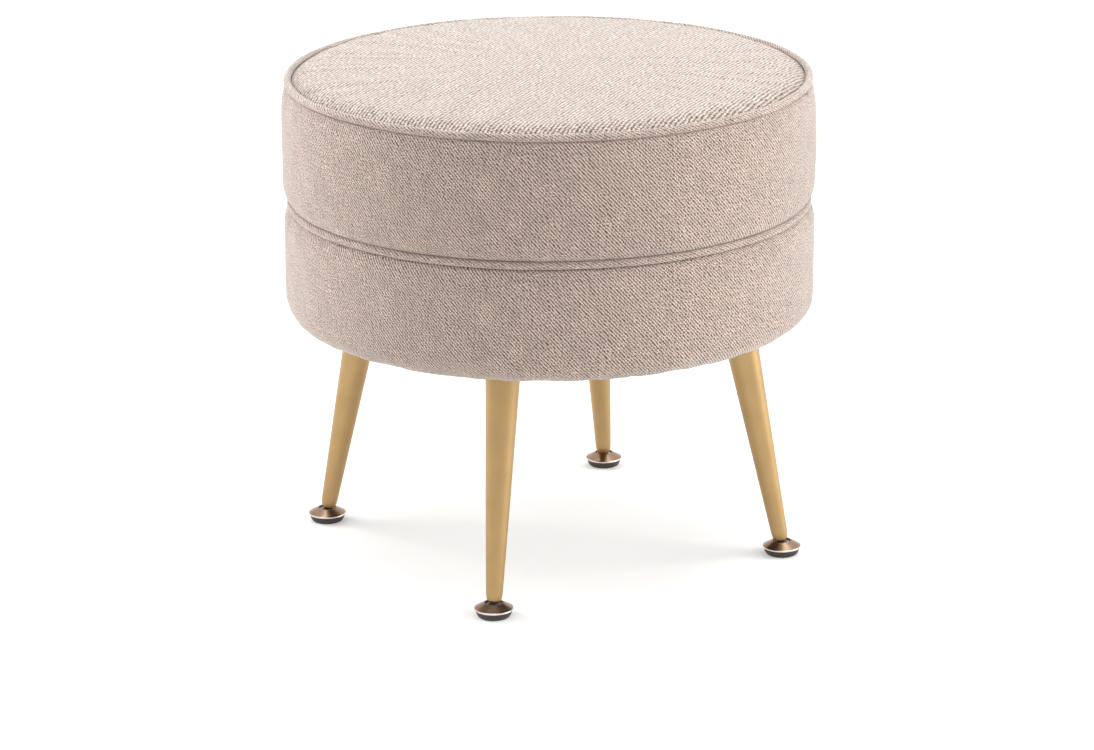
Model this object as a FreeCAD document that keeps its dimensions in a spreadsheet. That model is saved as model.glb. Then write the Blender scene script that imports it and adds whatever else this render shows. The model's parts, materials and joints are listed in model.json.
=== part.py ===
"""A round two-tier upholstered ottoman on four splayed tapered legs with levelling feet.

Millimetres, +Z up. The origin is on the floor, under the middle of the drum. The legs stand on the
X and Y axes: front is -Y, right is +X, back is +Y and left is -X.
"""

import FreeCAD, Part
import math
import os

import Sketcher
from FreeCAD import Vector

# Driving dimensions: name, value, what it measures. Lengths in millimetres, angles in degrees.
SIZES = [
    ("seat_height", 420.0, "crown of the seat above the floor"),
    ("drum_radius", 225.0, "belly of the upper band"),
    ("crown_height", 10.7, "crown above the middle of the top welt"),
    ("crown_fall", 4.0, "fall of the crown from its middle to its shoulder"),
    ("shoulder_width", 20.0, "turned-down edge of the top panel"),
    ("panel_lift", 0.5, "top panel's edge above the middle of the top welt"),
    ("upper_tier", 104.8, "from the top welt down to the waist welt"),
    ("lower_tier", 99.7, "from the waist welt down to the underside"),
    ("top_seam_inset", 6.3, "top welt's middle inside the belly"),
    ("waist_inset", 6.7, "waist welt's middle inside the belly"),
    ("lower_inset", 0.8, "lower band's side inside the belly"),
    ("belly_bulge", 0.5, "swell of the upper band's side between its rolls"),
    ("top_roll", 21.8, "height of the upper band's roll under the top welt"),
    ("waist_roll", 16.0, "height of the bands' rolls above and below the waist"),
    ("welt_radius", 3.25, "half the thickness of the piping"),
    ("band_tuck", 0.8, "upper band's top edge outside the welt's middle"),
    ("waist_tuck", 0.4, "bands' waist edges inside the welt's middle"),
    ("cloth", 1.2, "thickness of the cover cloth"),
    ("lining", 0.6, "thickness of the dust cover"),
    ("ply_gap", 0.3, "slack between layers of cloth, foam and skin"),
    ("side_foam", 15.6, "thickness of the foam round the lower skin"),
    ("edge_land", 0.4, "flat of that foam under the base board's edge"),
    ("seat_depth", 32.0, "seat deck below the middle of the top welt"),
    ("board_thickness", 15.0, "base board and waist ring"),
    ("ring_width", 38.5, "waist ring, in and out"),
    ("deck_thickness", 12.0, "seat deck"),
    ("vent_radius", 10.0, "air holes in the seat deck"),
    ("vent_circle", 105.0, "circle of those holes"),
    ("skin", 3.0, "thickness of the hardboard skins"),
    ("skin_lift", 8.0, "lower skin's edge above the base board's underside"),
    ("post_depth", 22.0, "posts, in and out"),
    ("post_width", 36.0, "posts, round the drum"),
    ("post_setback", 19.5, "posts' middles inside the boards' edge"),
    ("post_count", 6, "posts in each tier"),
    ("frame_screw_radius", 2.1, "shank of the frame screws"),
    ("frame_screw_length", 30.0, "length of the frame screws"),
    ("frame_head_radius", 4.2, "countersunk head of the frame screws"),
    ("frame_head_height", 2.6, "depth of that head"),
    ("screw_gap", 0.05, "slack round a screw in its pilot hole"),
    ("leg_setback", 40.6, "leg's middle at its plate, inside the base board's edge"),
    ("splay_angle", 11.5, "lean of the legs, in degrees"),
    ("leg_start", 5.6, "leg's lower end along its axis from the ball joint"),
    ("leg_bottom_radius", 6.7, "leg's taper carried down to its lower end"),
    ("leg_top_radius", 14.7, "leg at its plate"),
    ("leg_wall", 1.2, "wall of the leg tube"),
    ("leg_nose", 7.8, "height of the leg's rounded lower end"),
    ("leg_lip", 0.75, "width of the leg's lower edge round its insert"),
    ("insert_wall", 1.0, "wall of the threaded insert in the leg's lower end"),
    ("insert_length", 24.0, "length of that insert"),
    ("insert_gap", 0.05, "slack between insert and leg"),
    ("plate_side", 48.0, "leg plate"),
    ("plate_corner", 8.0, "rounding of the plate's corners"),
    ("plate_thickness", 3.0, "leg plate"),
    ("plate_pitch", 34.0, "spacing of the plate's holes"),
    ("plate_hole", 2.7, "radius of the plate's holes"),
    ("hem_clear", 2.0, "plate's corners inside the step of the dust cover"),
    ("plate_screw_radius", 2.35, "shank of the plate screws"),
    ("plate_screw_bite", 12.0, "plate screws' depth in the base board"),
    ("plate_head_radius", 4.4, "pan head of the plate screws"),
    ("plate_head_height", 2.6, "height of that head"),
    ("plate_head_chamfer", 0.7, "slope of that head's edge, inwards"),
    ("stem_radius", 3.95, "thread of the foot's stem"),
    ("stem_gap", 0.05, "running slack of the thread"),
    ("stem_bite", 20.0, "stem's reach into the leg"),
    ("stem_chamfer", 0.75, "thread's chamfers"),
    ("ball_radius", 4.9, "ball on the stem"),
    ("neck_step", 1.7, "neck's radius under the ball's"),
    ("joint_gap", 0.08, "running slack of the ball joint and of the turning base"),
    ("socket_wall", 3.54, "socket's side at the ball's middle"),
    ("socket_base", 1.27, "socket under the ball"),
    ("socket_rise", 2.3, "socket's top above the ball's middle"),
    ("cap_radius", 16.4, "rim of the foot's cap"),
    ("cap_drop", 1.4, "that rim's underside below the ball's middle"),
    ("cap_rim", 1.3, "height of that rim"),
    ("cap_rise", 4.4, "cap's top above the ball's middle"),
    ("cap_top_radius", 8.0, "top of the cap's cone"),
    ("cap_lip", 0.5, "flat of the cap's top round its hole"),
    ("cap_wall", 1.2, "wall of the cap"),
    ("pad_gap", 0.1, "slack between cap and pad"),
    ("pad_floor", 1.17, "pad under the socket"),
    ("pad_shoulder_inset", 1.0, "pad's shoulder inside the cap's rim"),
    ("pad_foot_inset", 3.0, "pad's foot inside the cap's rim"),
    ("pad_chamfer", 0.8, "chamfer of the pad's lower edge"),
    ("staple_width", 10.0, "staples' crown"),
    ("staple_leg", 5.0, "staples' depth in the base board"),
    ("staple_wire", 0.8, "thickness of the staples' wire"),
    ("staple_count", 28, "staples round the dust cover"),
]

# Where each leg stands: its name and the turn about Z from +X, in degrees.
LEGS = [("front", -90), ("right", 0), ("back", 90), ("left", 180)]


class Size:
    """A number together with the spreadsheet formula that gives it."""

    def __init__(self, value, formula):
        self.value = float(value)
        self.formula = formula

    def __add__(self, other):
        other = as_size(other)
        return Size(self.value + other.value, f"({self.formula} + {other.formula})")

    def __sub__(self, other):
        other = as_size(other)
        return Size(self.value - other.value, f"({self.formula} - {other.formula})")

    def __mul__(self, other):
        other = as_size(other)
        return Size(self.value * other.value, f"({self.formula} * {other.formula})")

    def __truediv__(self, other):
        other = as_size(other)
        return Size(self.value / other.value, f"({self.formula} / {other.formula})")

    def __neg__(self):
        return Size(-self.value, f"(0 - {self.formula})")

    __radd__ = __add__
    __rmul__ = __mul__

    def __rsub__(self, other):
        return as_size(other) - self

    def __rtruediv__(self, other):
        return as_size(other) / self


def as_size(value):
    return value if isinstance(value, Size) else Size(value, repr(value))


def root(size):
    return Size(math.sqrt(size.value), f"sqrt({size.formula})")


def tangent(size):
    return Size(math.tan(math.radians(size.value)), f"tan({size.formula} * 1deg)")


def cosine(size):
    return Size(math.cos(math.radians(size.value)), f"cos({size.formula} * 1deg)")


def sine(size):
    return Size(math.sin(math.radians(size.value)), f"sin({size.formula} * 1deg)")


doc = FreeCAD.newDocument("Ottoman")
sheet = doc.addObject("Spreadsheet::Sheet", "Sizes")


class Driving:
    """The sheet's cells by name, each as a Size."""


d = Driving()
for row, (alias, number, note) in enumerate(SIZES, start=1):
    sheet.set(f"A{row}", alias)
    sheet.set(f"B{row}", str(number))
    sheet.set(f"C{row}", note)
    sheet.setAlias(f"B{row}", alias)
    setattr(d, alias, Size(number, f"Sizes.{alias}"))
doc.recompute()

subparts = []


# Sketches and features

def new_body(label):
    """An empty body for a sub-part of one solid or of several alike."""
    body = doc.addObject("PartDesign::Body", label)
    body.Label = label
    body.AllowCompound = True
    return body


def keep(feature):
    """Lists a finished object as one of the sub-parts to write."""
    subparts.append(feature)
    return feature


def origin_feature(body, role):
    return next(f for f in body.Origin.OriginFeatures if f.Role == role)


def new_sketch(body, name, plane):
    """A sketch on one of the body's origin planes."""
    sketch = body.newObject("Sketcher::SketchObject", name)
    sketch.AttachmentSupport = [(origin_feature(body, plane), "")]
    sketch.MapMode = "FlatFace"
    return sketch


def move_sketch(sketch, across=0, off=0, turn=0):
    """Moves a sketch along its plane and off it, and turns it about its own upright axis."""
    x, z, angle = (as_size(size).formula for size in (across, off, turn))
    sketch.setExpression(
        "AttachmentOffset",
        f"placement(vector({x}; 0; {z}); rotation(vector(0; 1; 0); {angle}))",
    )
    return sketch


def bind(sketch, kind, name, size, *where):
    """A dimension of the sketch, driven by its formula."""
    index = sketch.addConstraint(Sketcher.Constraint(kind, *where, size.value))
    sketch.renameConstraint(index, name)
    sketch.setExpression(f"Constraints.{name}", size.formula)


def place_point(sketch, geometry, position, name, across, up):
    """Holds a point at its place, on an axis where its distance is nothing."""
    for kind, axis, letter, size in (("DistanceX", -2, "x", across), ("DistanceY", -1, "y", up)):
        size = as_size(size)
        if size.formula in ("0", "0.0"):
            sketch.addConstraint(Sketcher.Constraint("PointOnObject", geometry, position, axis))
        else:
            bind(sketch, kind, f"{name}_{letter}", size, -1, 1, geometry, position)


def arc_through(start, end, radius, bulge):
    """An arc between two points that bulges to the left (1) or right (-1) of the way from start to end."""
    chord = end - start
    half = chord.Length / 2
    left = Vector(-chord.y, chord.x, 0).normalize()
    middle = (start + end) / 2 - left * (bulge * math.sqrt(max(radius * radius - half * half, 0.0)))
    first, last = (start, end) if bulge < 0 else (end, start)
    angles = [math.atan2(p.y - middle.y, p.x - middle.x) for p in (first, last)]
    return Part.ArcOfCircle(Part.Circle(middle, Vector(0, 0, 1), radius), *angles), middle


def tangent_arc(start, end, at_start, direction):
    """The radius and bulge of the arc from start to end that runs along direction at one of its ends."""
    chord = end - start
    left = Vector(-direction.y, direction.x, 0).normalize()
    offset = chord.dot(left)
    radius = chord.Length ** 2 / (2 * abs(offset))
    turns_left = (offset > 0) == at_start
    return radius, -1 if turns_left else 1


def closed_sketch(body, name, plane, corners, arcs=None):
    """A closed outline through corners, each (across, up).

    arcs says which edges bend, by their first corner's number: a (radius, bulge) pair, or the word
    "last" or "next" for an arc that is tangent to the straight edge or arc before or after it.
    """
    arcs = arcs or {}
    sketch = new_sketch(body, name, plane)
    points = [Vector(as_size(x).value, as_size(y).value, 0) for x, y in corners]
    count = len(points)
    ends = {}
    directions = {}
    plain_arcs = [i for i in range(count) if not isinstance(arcs.get(i), str)]
    for i in plain_arcs + [i for i in range(count) if i not in plain_arcs]:
        start, end = points[i], points[(i + 1) % count]
        bend = arcs.get(i)
        if bend is None:
            directions[i] = (end - start, end - start)
            ends[i] = Part.LineSegment(start, end), 1, 2
            continue
        if bend == "last":
            radius, bulge = tangent_arc(start, end, True, directions[i - 1][1])
        elif bend == "next":
            radius, bulge = tangent_arc(start, end, False, directions[(i + 1) % count][0])
        else:
            radius, bulge = as_size(bend[0]).value, bend[1]
        curve, middle = arc_through(start, end, radius, bulge)
        turn = -bulge
        first, last = start - middle, end - middle
        directions[i] = (
            Vector(-first.y, first.x, 0) * turn,
            Vector(-last.y, last.x, 0) * turn,
        )
        ends[i] = (curve, 1, 2) if turn > 0 else (curve, 2, 1)
    for i in range(count):
        sketch.addGeometry(ends[i][0], False)
    for i in range(count):
        after = (i + 1) % count
        joined = (i, ends[i][2], after, ends[after][1])
        smooth = arcs.get(i) == "next" or arcs.get(after) == "last"
        sketch.addConstraint(Sketcher.Constraint("Tangent" if smooth else "Coincident", *joined))
    for i in range(count):
        place_point(sketch, i, ends[i][1], f"corner{i}", *corners[i])
        bend = arcs.get(i)
        if bend is not None and not isinstance(bend, str):
            bind(sketch, "Radius", f"bend{i}", as_size(bend[0]), i)
    return sketch


def circle_sketch(body, name, circles):
    """Circles on the XY plane, each (across, along, radius)."""
    sketch = new_sketch(body, name, "XY_Plane")
    for i, (x, y, radius) in enumerate(circles):
        middle = Vector(as_size(x).value, as_size(y).value, 0)
        sketch.addGeometry(Part.Circle(middle, Vector(0, 0, 1), as_size(radius).value), False)
        place_point(sketch, i, 3, f"centre{i}", x, y)
        bind(sketch, "Radius", f"radius{i}", as_size(radius), i)
    return sketch


def revolve(body, name, sketch, kind="Revolution"):
    """Turns a sketch round its own upright axis, as a solid or, with kind Groove, as a cut."""
    feature = body.newObject(f"PartDesign::{kind}", name)
    feature.Profile = sketch
    feature.ReferenceAxis = (sketch, ["V_Axis"])
    feature.Angle = 360.0
    doc.recompute()
    return feature


def pad(body, name, sketch, height):
    feature = body.newObject("PartDesign::Pad", name)
    feature.Profile = sketch
    feature.setExpression("Length", height.formula)
    doc.recompute()
    return feature


def pocket_up(body, name, sketch, depth):
    """A cut upwards from the sketch's plane. Stops the build if it removes nothing."""
    before = body.Shape.Volume
    feature = body.newObject("PartDesign::Pocket", name)
    feature.Profile = sketch
    feature.Reversed = True
    feature.setExpression("Length", depth.formula)
    doc.recompute()
    if body.Shape.Volume >= before:
        raise RuntimeError(f"{body.Label}: {name} cuts nothing")
    return feature


def polar(body, name, originals, count):
    """Copies features round the Z axis, count times in a full turn."""
    feature = body.newObject("PartDesign::PolarPattern", name)
    feature.Originals = originals
    feature.Axis = (origin_feature(body, "Z_Axis"), [""])
    feature.Angle = 360.0
    feature.setExpression("Occurrences", as_size(count).formula)
    body.Tip = feature
    doc.recompute()
    return feature


def lift(feature, level):
    """Raises a sub-part to its level."""
    feature.setExpression("Placement.Base.z", level.formula)


def stand_at(feature, turn, offset=None, level=None, lean=None):
    """Stands a sub-part at a leg: out from the middle, up and leaning, then turned about Z."""
    out = "0" if offset is None else offset.formula
    up = "0" if level is None else level.formula
    angle = "0" if lean is None else f"(0 - {lean.formula})"
    feature.setExpression(
        "Placement",
        f"placement(vector(0; 0; 0); rotation(vector(0; 0; 1); {turn})) * "
        f"placement(vector({out}; 0; {up}); rotation(vector(0; 1; 0); {angle}))",
    )


# Sizes that several pieces share

layer = d.cloth + d.ply_gap
hug = d.welt_radius + d.ply_gap
half_step = 180 / d.post_count

top_seam_level = d.seat_height - d.crown_height
waist_level = top_seam_level - d.upper_tier
bottom_level = waist_level - d.lower_tier
top_seam_radius = d.drum_radius - d.top_seam_inset
waist_seam_radius = d.drum_radius - d.waist_inset
lower_radius = d.drum_radius - d.lower_inset

panel_edge = (top_seam_radius - hug, top_seam_level + d.panel_lift)
shoulder_radius = panel_edge[0] - d.shoulder_width
shoulder_level = d.seat_height - d.crown_fall
crown_curve = (shoulder_radius * shoulder_radius + d.crown_fall * d.crown_fall) / (2 * d.crown_fall)

band_top = (top_seam_radius + d.band_tuck, top_seam_level - hug)
band_waist = (waist_seam_radius - d.waist_tuck, waist_level + hug)
belly_high = band_top[1] - d.top_roll
belly_low = band_waist[1] + d.waist_roll
belly_half = (belly_high - belly_low) / 2
belly_level = (belly_high + belly_low) / 2
belly_curve = (belly_half * belly_half + d.belly_bulge * d.belly_bulge) / (2 * d.belly_bulge)
lower_waist = (waist_seam_radius - d.waist_tuck, waist_level - hug)
roll_end = lower_waist[1] - d.waist_roll

foam_bore = lower_radius - layer - d.side_foam
skin_outside = foam_bore - d.ply_gap
skin_inside = skin_outside - d.skin
board_radius = skin_inside - d.ply_gap
curve_middle = skin_inside + d.edge_land
bottom_curve = lower_radius - curve_middle
curve_level = bottom_level + bottom_curve

board_level = bottom_level + d.cloth
board_top = board_level + d.board_thickness
ring_level = waist_level - d.board_thickness / 2
ring_top = ring_level + d.board_thickness
deck_top = top_seam_level - d.seat_depth
deck_level = deck_top - d.deck_thickness
post_circle = board_radius - d.post_setback

ball_hollow = d.ball_radius + d.joint_gap
ball_level = d.pad_floor + d.joint_gap + d.socket_base + ball_hollow
plate_level = board_level - d.lining - d.plate_thickness
plate_circle = board_radius - d.leg_setback
leg_length = (plate_level - ball_level) / cosine(d.splay_angle)
foot_circle = plate_circle + (plate_level - ball_level) * tangent(d.splay_angle)
plate_straight = d.plate_side / 2 - d.plate_corner
plate_reach = (plate_circle + plate_straight) * (plate_circle + plate_straight)
plate_reach = root(plate_reach + plate_straight * plate_straight) + d.plate_corner
hem_step = plate_reach + d.hem_clear
hem_radius = hem_step + 2 * d.cloth
staple_circle = (hem_radius + curve_middle) / 2
pilot_radius = d.plate_screw_radius + d.screw_gap
insert_bore = d.stem_radius + d.stem_gap
insert_radius = insert_bore + d.insert_wall


def belly_at(level):
    """Radius of the upper band's belly at a level."""
    height = level - belly_level
    return d.drum_radius - belly_curve + root(belly_curve * belly_curve - height * height)


def belly_side(inset):
    """The upper band's side, from the top seam down to the waist, moved in by inset."""
    return [
        (band_top[0] - inset, band_top[1]),
        (d.drum_radius - d.belly_bulge - inset, belly_high),
        (d.drum_radius - d.belly_bulge - inset, belly_low),
        (band_waist[0] - inset, band_waist[1]),
    ]


def plate_holes(radius):
    """The four holes of a leg plate, as circles of one radius."""
    half = d.plate_pitch / 2
    return [(plate_circle + half * a, half * b, radius) for a in (-1, 1) for b in (-1, 1)]


# Covers and piping

def make_top_cover():
    """The round top panel: a shallow crown that turns down at its shoulder to the top seam."""
    body = new_body("top_cover")
    corners = [
        (0, d.seat_height - d.cloth),
        (shoulder_radius, shoulder_level - d.cloth),
        (panel_edge[0], panel_edge[1] - d.cloth),
        panel_edge,
        (shoulder_radius, shoulder_level),
        (0, d.seat_height),
    ]
    arcs = {0: (crown_curve, 1), 1: "last", 3: "next", 4: (crown_curve, -1)}
    revolve(body, "panel", closed_sketch(body, "panel_section", "XZ_Plane", corners, arcs))
    keep(body)


def make_upper_band():
    """The upper side panel, with its belly and the rolls up to the top welt and down to the waist."""
    body = new_body("upper_band")
    outside = belly_side(as_size(0.0))
    inside = belly_side(d.cloth)
    corners = outside + inside[::-1]
    arcs = {
        0: "next", 1: (belly_curve, 1), 2: "last",
        4: "next", 5: (belly_curve, -1), 6: "last",
    }
    revolve(body, "band", closed_sketch(body, "band_section", "XZ_Plane", corners, arcs))
    keep(body)


def make_lower_band():
    """The lower side panel: a roll under the waist, a straight side, a round edge and a hem below."""
    body = new_body("lower_band")
    inside = lower_radius - d.cloth
    corners = [
        lower_waist,
        (lower_radius, roll_end),
        (lower_radius, curve_level),
        (curve_middle, bottom_level),
        (hem_radius, bottom_level),
        (hem_radius, board_level),
        (curve_middle, board_level),
        (inside, curve_level),
        (inside, roll_end),
        (lower_waist[0] - d.cloth, lower_waist[1]),
    ]
    arcs = {
        0: "next", 2: (bottom_curve, 1),
        6: (bottom_curve - d.cloth, -1), 8: "last",
    }
    revolve(body, "band", closed_sketch(body, "band_section", "XZ_Plane", corners, arcs))
    keep(body)


def make_welt(label, radius, level):
    """A ring of piping."""
    welt = doc.addObject("Part::Torus", label)
    welt.Label = label
    welt.setExpression("Radius1", radius.formula)
    welt.setExpression("Radius2", d.welt_radius.formula)
    lift(welt, level)
    keep(welt)


# Foam

def make_seat_foam():
    """The full-width seat cushion on the deck, crowned as the cover is."""
    body = new_body("seat_foam")
    base = deck_top + d.ply_gap
    side = belly_side(layer)
    corners = [
        (0, base),
        (belly_at(base) - layer, base),
        side[1],
        side[0],
        (panel_edge[0], panel_edge[1] - layer),
        (shoulder_radius, shoulder_level - layer),
        (0, d.seat_height - layer),
    ]
    arcs = {1: (belly_curve, -1), 2: "last", 3: (hug, 1), 4: "next", 5: (crown_curve, -1)}
    revolve(body, "cushion", closed_sketch(body, "cushion_section", "XZ_Plane", corners, arcs))
    keep(body)


def make_upper_wrap():
    """The foam round the upper tier, from the waist up to the seat cushion."""
    body = new_body("upper_foam_wrap")
    low = waist_level + d.ply_gap / 2
    side = belly_side(layer)
    corners = [
        (foam_bore, low),
        (side[3][0] - hug, low),
        side[3],
        side[2],
        (belly_at(deck_top) - layer, deck_top),
        (foam_bore, deck_top),
    ]
    arcs = {2: "next", 3: (belly_curve, -1)}
    revolve(body, "wrap", closed_sketch(body, "wrap_section", "XZ_Plane", corners, arcs))
    keep(body)


def make_lower_wrap():
    """The foam round the lower tier, turned in under the skin to the base board's edge."""
    body = new_body("lower_foam_wrap")
    high = waist_level - d.ply_gap / 2
    side = lower_radius - layer
    waist = lower_waist[0] - layer
    ledge = board_level + d.skin_lift - d.ply_gap
    base = board_level + d.ply_gap
    corners = [
        (foam_bore, high),
        (foam_bore, ledge),
        (skin_inside, ledge),
        (skin_inside, base),
        (curve_middle, base),
        (side, curve_level),
        (side, roll_end),
        (waist, lower_waist[1]),
        (waist - hug, high),
    ]
    arcs = {4: (bottom_curve - layer, -1), 6: "last"}
    revolve(body, "wrap", closed_sketch(body, "wrap_section", "XZ_Plane", corners, arcs))
    keep(body)


# Timber frame

def frame_screw_outline(slack):
    """Half the section of a frame screw, with its head's face at the origin and its tip up."""
    shank = d.frame_screw_radius + slack
    return [
        (0, 0),
        (d.frame_head_radius + slack, 0),
        (shank, d.frame_head_height),
        (shank, d.frame_screw_length - 2 * d.frame_screw_radius),
        (0, d.frame_screw_length + slack),
    ]


def upside_down(outline, level):
    """The same outline hung from a level, with its tip down."""
    return [(across, level - as_size(up)) for across, up in outline]


def screw_holes(body, name, level=None, turn=0):
    """A ring of holes for frame screws, driven up from the body's base or down from a level."""
    outline = frame_screw_outline(d.screw_gap)
    if level is not None:
        outline = upside_down(outline, level)
    sketch = closed_sketch(body, f"{name}_section", "XZ_Plane", outline)
    turn = as_size(turn)
    move_sketch(sketch, post_circle * cosine(turn), -post_circle * sine(turn), turn)
    before = body.Shape.Volume
    groove = revolve(body, name, sketch, "Groove")
    if body.Shape.Volume >= before:
        raise RuntimeError(f"{body.Label}: {name} cuts nothing")
    polar(body, f"{name}_ring", [groove], d.post_count)


def make_base_board():
    """The plywood disc that carries the legs, with pilot holes for their plates' screws."""
    body = new_body("base_board")
    pad(body, "disc", circle_sketch(body, "rim", [(0, 0, board_radius)]), d.board_thickness)
    screw_holes(body, "post_hole")
    pilots = circle_sketch(body, "plate_holes_plan", plate_holes(pilot_radius))
    cut = pocket_up(body, "plate_hole_group", pilots, d.plate_screw_bite + d.ply_gap)
    polar(body, "plate_holes", [cut], len(LEGS))
    lift(body, board_level)
    keep(body)


def make_waist_ring():
    """The plywood hoop at the waist, screwed to the posts above and below it."""
    body = new_body("waist_ring")
    rings = [(0, 0, board_radius), (0, 0, board_radius - d.ring_width)]
    pad(body, "hoop", circle_sketch(body, "rims", rings), d.board_thickness)
    screw_holes(body, "lower_post_hole", level=d.board_thickness)
    screw_holes(body, "upper_post_hole", turn=half_step)
    lift(body, ring_level)
    keep(body)


def make_seat_deck():
    """The plywood disc under the seat cushion, with air holes."""
    body = new_body("seat_deck")
    pad(body, "disc", circle_sketch(body, "rim", [(0, 0, board_radius)]), d.deck_thickness)
    screw_holes(body, "post_hole", level=d.deck_thickness, turn=half_step)
    middle = circle_sketch(body, "middle_vent_plan", [(0, 0, d.vent_radius)])
    pocket_up(body, "middle_vent", middle, d.deck_thickness)
    vent = circle_sketch(body, "vent_plan", [(d.vent_circle, 0, d.vent_radius)])
    polar(body, "vents", [pocket_up(body, "vent", vent, d.deck_thickness)], d.post_count)
    lift(body, deck_level)
    keep(body)


def make_posts(label, bottom, top, board_below, board_above):
    """A ring of timber posts between two boards, bored at both ends for the frame screws."""
    body = new_body(label)
    height = top - bottom
    near = post_circle - d.post_depth / 2
    far = post_circle + d.post_depth / 2
    side = d.post_width / 2
    section = [(near, -side), (far, -side), (far, side), (near, side)]
    post = pad(body, "post", closed_sketch(body, "post_section", "XY_Plane", section), height)
    plan = [(post_circle, 0, d.frame_screw_radius + d.screw_gap)]
    bite_below = d.frame_screw_length - board_below + d.ply_gap
    bite_above = d.frame_screw_length - board_above + d.ply_gap
    lower = pocket_up(body, "lower_bore", circle_sketch(body, "lower_bore_plan", plan), bite_below)
    upper_plan = circle_sketch(body, "upper_bore_plan", plan)
    move_sketch(upper_plan, off=height - bite_above)
    upper = pocket_up(body, "upper_bore", upper_plan, bite_above)
    polar(body, "ring", [post, lower, upper], d.post_count)
    lift(body, bottom)
    return keep(body)


def make_skin(label, bottom, top):
    """A hardboard hoop round the boards' edges."""
    body = new_body(label)
    rings = [(0, 0, skin_outside), (0, 0, skin_inside)]
    pad(body, "hoop", circle_sketch(body, "rims", rings), top - bottom)
    lift(body, bottom)
    keep(body)


def half_turned(feature, level):
    """Raises a ring of pieces to its level and turns it by half a post's spacing."""
    feature.setExpression(
        "Placement",
        f"placement(vector(0; 0; {level.formula}); rotation(vector(0; 0; 1); {half_step.formula}))",
    )


def make_frame():
    """The boards, posts and skins. The upper posts stand between the lower ones."""
    make_base_board()
    make_waist_ring()
    make_seat_deck()
    make_posts("lower_posts", board_top, ring_level, d.board_thickness, d.board_thickness)
    upper = make_posts("upper_posts", ring_top, deck_level, d.board_thickness, d.deck_thickness)
    half_turned(upper, ring_top)
    make_skin("lower_skin", board_level + d.skin_lift, waist_level - d.ply_gap / 2)
    make_skin("upper_skin", waist_level + d.ply_gap / 2, deck_top)


# Fasteners and the dust cover

def screw_ring(label, level, down=False, turned=False):
    """A ring of frame screws, driven up from a level or down from it."""
    body = new_body(label)
    outline = frame_screw_outline(as_size(0.0))
    if down:
        outline = upside_down(outline, as_size(0.0))
    sketch = move_sketch(closed_sketch(body, "screw_section", "XZ_Plane", outline), post_circle)
    polar(body, "ring", [revolve(body, "screw", sketch)], d.post_count)
    if turned:
        half_turned(body, level)
    else:
        lift(body, level)
    return body


def make_frame_screws():
    """All the countersunk screws of the timber frame."""
    group = doc.addObject("Part::Compound", "frame_screws")
    group.Label = "frame_screws"
    group.Links = [
        screw_ring("base_board_screws", board_level),
        screw_ring("lower_ring_screws", ring_top, down=True),
        screw_ring("upper_ring_screws", ring_level, turned=True),
        screw_ring("seat_deck_screws", deck_top, down=True, turned=True),
    ]
    keep(group)


def make_plate_screws():
    """The pan-head screws that hold the four leg plates to the base board."""
    body = new_body("leg_plate_screws")
    shank = d.plate_thickness + d.lining + d.plate_screw_bite
    outline = [
        (0, -d.plate_head_height),
        (d.plate_head_radius - d.plate_head_chamfer, -d.plate_head_height),
        (d.plate_head_radius, -d.plate_head_height / 2),
        (d.plate_head_radius, 0),
        (d.plate_screw_radius, 0),
        (d.plate_screw_radius, shank - 2 * d.plate_screw_radius),
        (0, shank),
    ]
    half = d.plate_pitch / 2
    screws = []
    for number, (a, b) in enumerate([(-1, -1), (-1, 1), (1, -1), (1, 1)]):
        sketch = closed_sketch(body, f"screw_section{number}", "XZ_Plane", outline)
        move_sketch(sketch, plate_circle + half * a, half * b)
        screws.append(revolve(body, f"screw{number}", sketch))
    polar(body, "ring", screws, len(LEGS))
    lift(body, plate_level)
    keep(body)


def make_dust_cover():
    """The thin lining over the underside, stepped down over the band's hem, with the screws' holes."""
    body = new_body("dust_cover")
    low = bottom_level - d.lining
    edge = staple_circle + d.staple_wire
    corners = [
        (0, board_level - d.lining),
        (hem_step, board_level - d.lining),
        (hem_step + d.cloth, low),
        (edge, low),
        (edge, bottom_level),
        (hem_step + d.cloth + d.ply_gap, bottom_level),
        (hem_step + d.ply_gap, board_level),
        (0, board_level),
    ]
    revolve(body, "sheet", closed_sketch(body, "sheet_section", "XZ_Plane", corners))
    plan = circle_sketch(body, "hole_plan", plate_holes(d.plate_hole))
    move_sketch(plan, off=plate_level)
    cut = pocket_up(body, "hole_group", plan, d.board_thickness)
    polar(body, "holes", [cut], len(LEGS))
    keep(body)


def make_staples():
    """The staples that hold the dust cover and the hem to the base board."""
    body = new_body("dust_cover_staples")
    half = d.staple_width / 2
    low = bottom_level - d.lining - d.staple_wire
    inner = half - d.staple_wire
    tip = board_level + d.staple_leg
    outline = [
        (-half, low),
        (half, low),
        (half, tip),
        (inner, tip),
        (inner, low + d.staple_wire),
        (-inner, low + d.staple_wire),
        (-inner, tip),
        (-half, tip),
    ]
    sketch = closed_sketch(body, "staple_section", "YZ_Plane", outline)
    move_sketch(sketch, off=staple_circle - d.staple_wire / 2)
    polar(body, "ring", [pad(body, "staple", sketch, d.staple_wire)], d.staple_count)
    keep(body)


# Legs

def stand_on_leg(body, turn):
    """Puts a piece that is built along its leg on that leg's leaning axis, from the ball joint up."""
    stand_at(body, turn, foot_circle, ball_level, d.splay_angle)


def leg_radius(along):
    """Outside radius of a leg at a distance along its axis from the ball joint."""
    share = (along - d.leg_start) / (leg_length - d.leg_start)
    return d.leg_bottom_radius + (d.leg_top_radius - d.leg_bottom_radius) * share


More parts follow.
